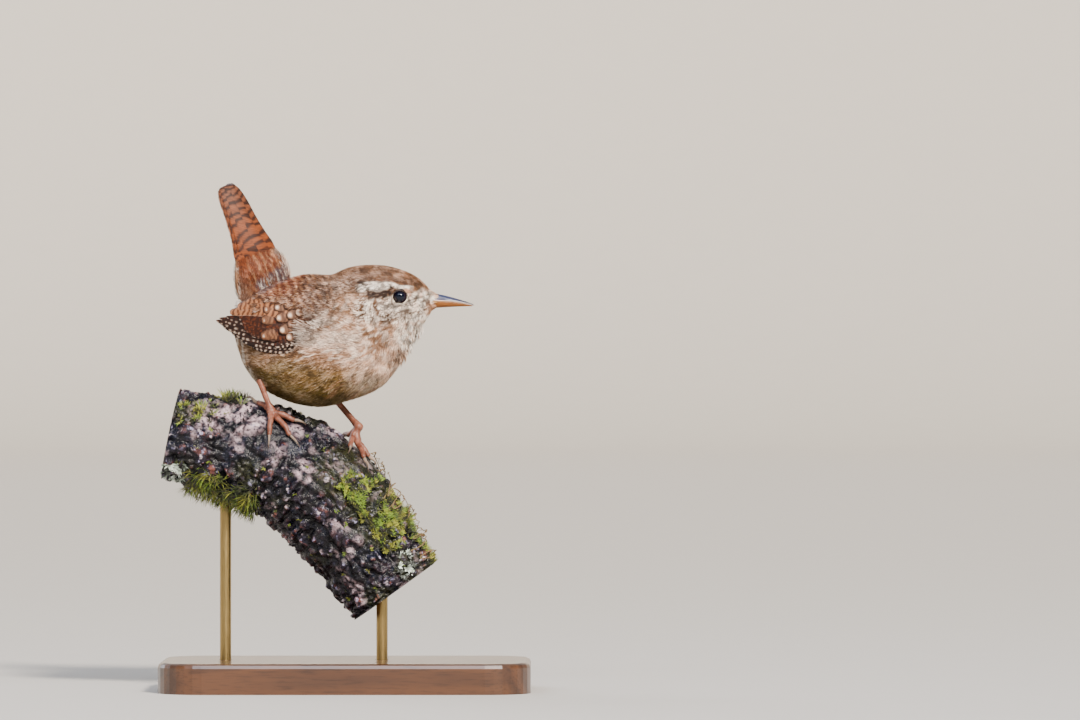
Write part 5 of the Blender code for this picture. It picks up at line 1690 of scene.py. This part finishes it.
def make_stage(view):
    """A pale floor whose far edge curves up as a round backdrop, low enough for the key to pass over
    it, soft lights, and a level camera a long way off, as the photograph's."""
    bend = np.linspace(0, math.pi / 2, 24)[1:]
    reach, curve, top = 5200, 1400, 1800.0
    radius = np.concatenate([np.geomspace(20, reach, 30), reach + curve * np.sin(bend), [reach + curve]])
    height = np.concatenate([np.zeros(30), curve * (1 - np.cos(bend)), [top]])
    turn = turns(96)
    ring = np.stack(np.broadcast_arrays(radius[:, None] * np.cos(turn), radius[:, None] * np.sin(turn),
                                        height[:, None]), -1)
    number = np.arange(len(radius) * 96).reshape(-1, 96)
    turned = np.roll(number, -1, 1)
    quads = np.stack([number[:-1], number[1:], turned[1:], turned[:-1]], -1).reshape(-1, 4)
    material, tree, place = begin("matt_backdrop_paper", Roughness=0.9, Specular_IOR_Level=0.2)
    fibre = add(tree, "TexNoise", {"Vector": place, "Scale": 40.0, "Detail": 3.0})
    shaded = (*(np.array(view.floor) * 0.97)[:3], 1)
    dress(tree, paint(tree, shaded, [(fibre, view.floor)]))
    mesh = bpy.data.meshes.new("floor")
    mesh.from_pydata((ring.reshape(-1, 3) * MM).tolist(), [], [*quads.tolist(), number[0].tolist()])
    mesh.polygons.foreach_set("use_smooth", np.full(len(mesh.polygons), True))
    mesh.materials.append(material)
    show("floor", mesh)
    world = bpy.data.worlds.new("soft_room")
    world.use_nodes = True
    background = world.node_tree.nodes["Background"].inputs
    background["Color"].default_value = view.room
    background["Strength"].default_value = view.room_light
    bpy.context.scene.world = world
    for name, kind, start, aim, power, tint in (
        ("key", "SUN", (0.42, -0.90, 0.66), (0, 0, 0), view.key_light, "#fff2e2"),
        ("fill", "SUN", (-0.8, 0.85, 0.7), (0, 0, 0), view.key_light * 0.24, "#eef3ff"),
        ("softbox", "AREA", (0.05, -0.85, 0.85), (-0.005, 0.0, 0.09), view.softbox, "#e6edff"),
    ):
        lamp = bpy.data.lights.new(name, kind)
        lamp.energy = power
        lamp.color = linear(tint)[:3]
        light = show(name, lamp)
        light.rotation_euler = (Vector(aim) - Vector(start)).to_track_quat("-Z", "Y").to_euler()
        if kind == "SUN":
            lamp.angle = math.radians(9.0 if name == "key" else 40.0)
        else:
            light.location = start
            lamp.shape, lamp.size, lamp.size_y = "RECTANGLE", 1.50, 0.34
    lens = bpy.data.cameras.new("camera")
    lens.sensor_width = 36.0
    lens.lens = view.focal_length
    lens.clip_start, lens.clip_end = 0.05, 60.0
    camera = show("camera", lens)
    camera.location = (0.0514, -view.distance, 0.08745)
    camera.rotation_euler = (math.pi / 2, 0.0, 0.0)
    bpy.context.scene.camera = camera


def colour(name, description, code):
    """A colour that the panel shows, from its sRGB hex value."""
    return bpy.props.FloatVectorProperty(
        name=name, description=description, subtype="COLOR", size=4, min=0, max=1, default=linear(code)
    )


class WREN_PG_look(bpy.types.PropertyGroup):
    """The bird's and the branch's colours."""

    brown: colour("Brown", "Ground of the upper parts", "#61402d")
    rufous: colour("Rufous", "Tail, wing and back", "#7d3912")
    buff: colour("Buff", "Breast and cheeks", "#b07f5a")
    # Cream also paints highlight on single barbs of the plumage.
    cream: colour("Cream", "Brow, throat and spots", "#fff0e0")
    olive: colour("Olive", "Belly and vent", "#69530f")
    grey: colour("Grey", "Down over the rump", "#5d5962")
    # Dark also paints shade: along the belly's underside, at the coverts' tips and along one edge of each
    # tertial.
    dark: colour("Dark", "Bars, eye stripe and flight feathers", "#1c0d09")
    iris: colour("Iris", "Ring round the pupil", "#24120b")
    bill_dark: colour("Bill, upper", "Horn of the upper half", "#343a58")
    bill_orange: colour("Bill, lower", "Horn of the lower half", "#7f4c1d")
    leg_pale: colour("Leg, pale", "Lighter skin of legs and toes", "#98604b")
    leg_dark: colour("Leg, dark", "Darker skin of legs and toes", "#5f301d")
    claw: colour("Claw", "Horn of the claws", "#95816f")
    bark: colour("Bark", "Ground of the bark", "#07060b")
    crust: colour("Crust", "Pale crusts on the bark", "#dcc3c8")
    moss: colour("Moss", "Ends of the moss leaves", "#8d8f2a")
    lichen: colour("Lichen", "Ends of the lichen lobes", "#b2c0b1")
    walnut: colour("Walnut", "Lighter lines of the base", "#5c3920")
    brass: colour("Brass", "Rods of the stand", "#b9a06a")


class WREN_PG_view(bpy.types.PropertyGroup):
    """The stage and the camera."""

    floor: colour("Floor", "Backdrop paper", "#c6c3be")
    room: colour("Room", "Light from all round", "#efeeec")
    room_light: bpy.props.FloatProperty(name="Room light", description="Strength all round", default=0.44)
    key_light: bpy.props.FloatProperty(name="Key light", description="Strength of the key, in W per sq m",
                                       default=7.0)
    softbox: bpy.props.FloatProperty(name="Softbox", description="Power of the softbox, in watts",
                                     default=13.0, unit="POWER")
    focal_length: bpy.props.FloatProperty(name="Lens", description="Focal length in mm", default=251.6)
    distance: bpy.props.FloatProperty(name="Distance", description="Camera to the bird's middle plane",
                                      default=2.0, unit="LENGTH")


class WREN_OT_skin(bpy.types.Operator):
    """Make the skin, with its lids, thighs, shanks and toes"""

    bl_idname = "wren.skin"
    bl_label = "Skin"

    def execute(self, context):
        make_skin(context.scene.wren_look)
        return {"FINISHED"}


class WREN_OT_eyes(bpy.types.Operator):
    """Make the eyeballs and the rims of their lids"""

    bl_idname = "wren.eyes"
    bl_label = "Eyes"

    def execute(self, context):
        make_eyes(context.scene.wren_look)
        return {"FINISHED"}


class WREN_OT_horn(bpy.types.Operator):
    """Make the bill, its gape and the claws"""

    bl_idname = "wren.horn"
    bl_label = "Bill and claws"

    def execute(self, context):
        make_bill(context.scene.wren_look)
        make_claws(context.scene.wren_look)
        return {"FINISHED"}


class WREN_OT_coat(bpy.types.Operator):
    """Make the contour feathers of the body, thighs and tail root"""

    bl_idname = "wren.coat"
    bl_label = "Coat"

    def execute(self, context):
        make_coat(context.scene.wren_look)
        return {"FINISHED"}


class WREN_OT_wings(bpy.types.Operator):
    """Make the feathers of both folded wings"""

    bl_idname = "wren.wings"
    bl_label = "Wings"

    def execute(self, context):
        make_wings(context.scene.wren_look)
        return {"FINISHED"}


class WREN_OT_tail(bpy.types.Operator):
    """Make the twelve tail feathers"""

    bl_idname = "wren.tail"
    bl_label = "Tail"

    def execute(self, context):
        make_tail(context.scene.wren_look)
        return {"FINISHED"}


class WREN_OT_perch(bpy.types.Operator):
    """Make the branch's bark, moss, lichen and rootlets"""

    bl_idname = "wren.perch"
    bl_label = "Branch"

    def execute(self, context):
        make_perch(context.scene.wren_look)
        return {"FINISHED"}


class WREN_OT_stand(bpy.types.Operator):
    """Finish the base in walnut and the rods in brass"""

    bl_idname = "wren.stand"
    bl_label = "Stand"

    def execute(self, context):
        dress_stand(context.scene.wren_look)
        return {"FINISHED"}


class WREN_OT_stage(bpy.types.Operator):
    """Make the floor, the lights and the camera"""

    bl_idname = "wren.stage"
    bl_label = "Stage"

    def execute(self, context):
        make_stage(context.scene.wren_view)
        return {"FINISHED"}


STEPS = (WREN_OT_skin, WREN_OT_eyes, WREN_OT_horn, WREN_OT_coat, WREN_OT_wings, WREN_OT_tail,
         WREN_OT_perch, WREN_OT_stand, WREN_OT_stage)


class WREN_PT_pieces(bpy.types.Panel):
    """Lists the wren's pieces and their colours"""

    bl_label = "Wren"
    bl_space_type = "VIEW_3D"
    bl_region_type = "UI"
    bl_category = "Wren"

    def draw(self, context):
        for step in STEPS:
            self.layout.operator(step.bl_idname)
        for group in (context.scene.wren_look, context.scene.wren_view):
            for key in group.__annotations__:
                self.layout.prop(group, key)


CLASSES = (WREN_PG_look, WREN_PG_view, *STEPS, WREN_PT_pieces)


def register():
    for made in CLASSES:
        bpy.utils.register_class(made)
    bpy.types.Scene.wren_look = bpy.props.PointerProperty(type=WREN_PG_look)
    bpy.types.Scene.wren_view = bpy.props.PointerProperty(type=WREN_PG_view)


def unregister():
    del bpy.types.Scene.wren_look
    del bpy.types.Scene.wren_view
    for made in reversed(CLASSES):
        bpy.utils.unregister_class(made)


def main():
    register()
    bpy.ops.wren.skin()
    bpy.ops.wren.eyes()
    bpy.ops.wren.horn()
    bpy.ops.wren.coat()
    bpy.ops.wren.wings()
    bpy.ops.wren.tail()
    bpy.ops.wren.perch()
    bpy.ops.wren.stand()
    bpy.ops.wren.stage()


if __name__ == "__main__":
    main()
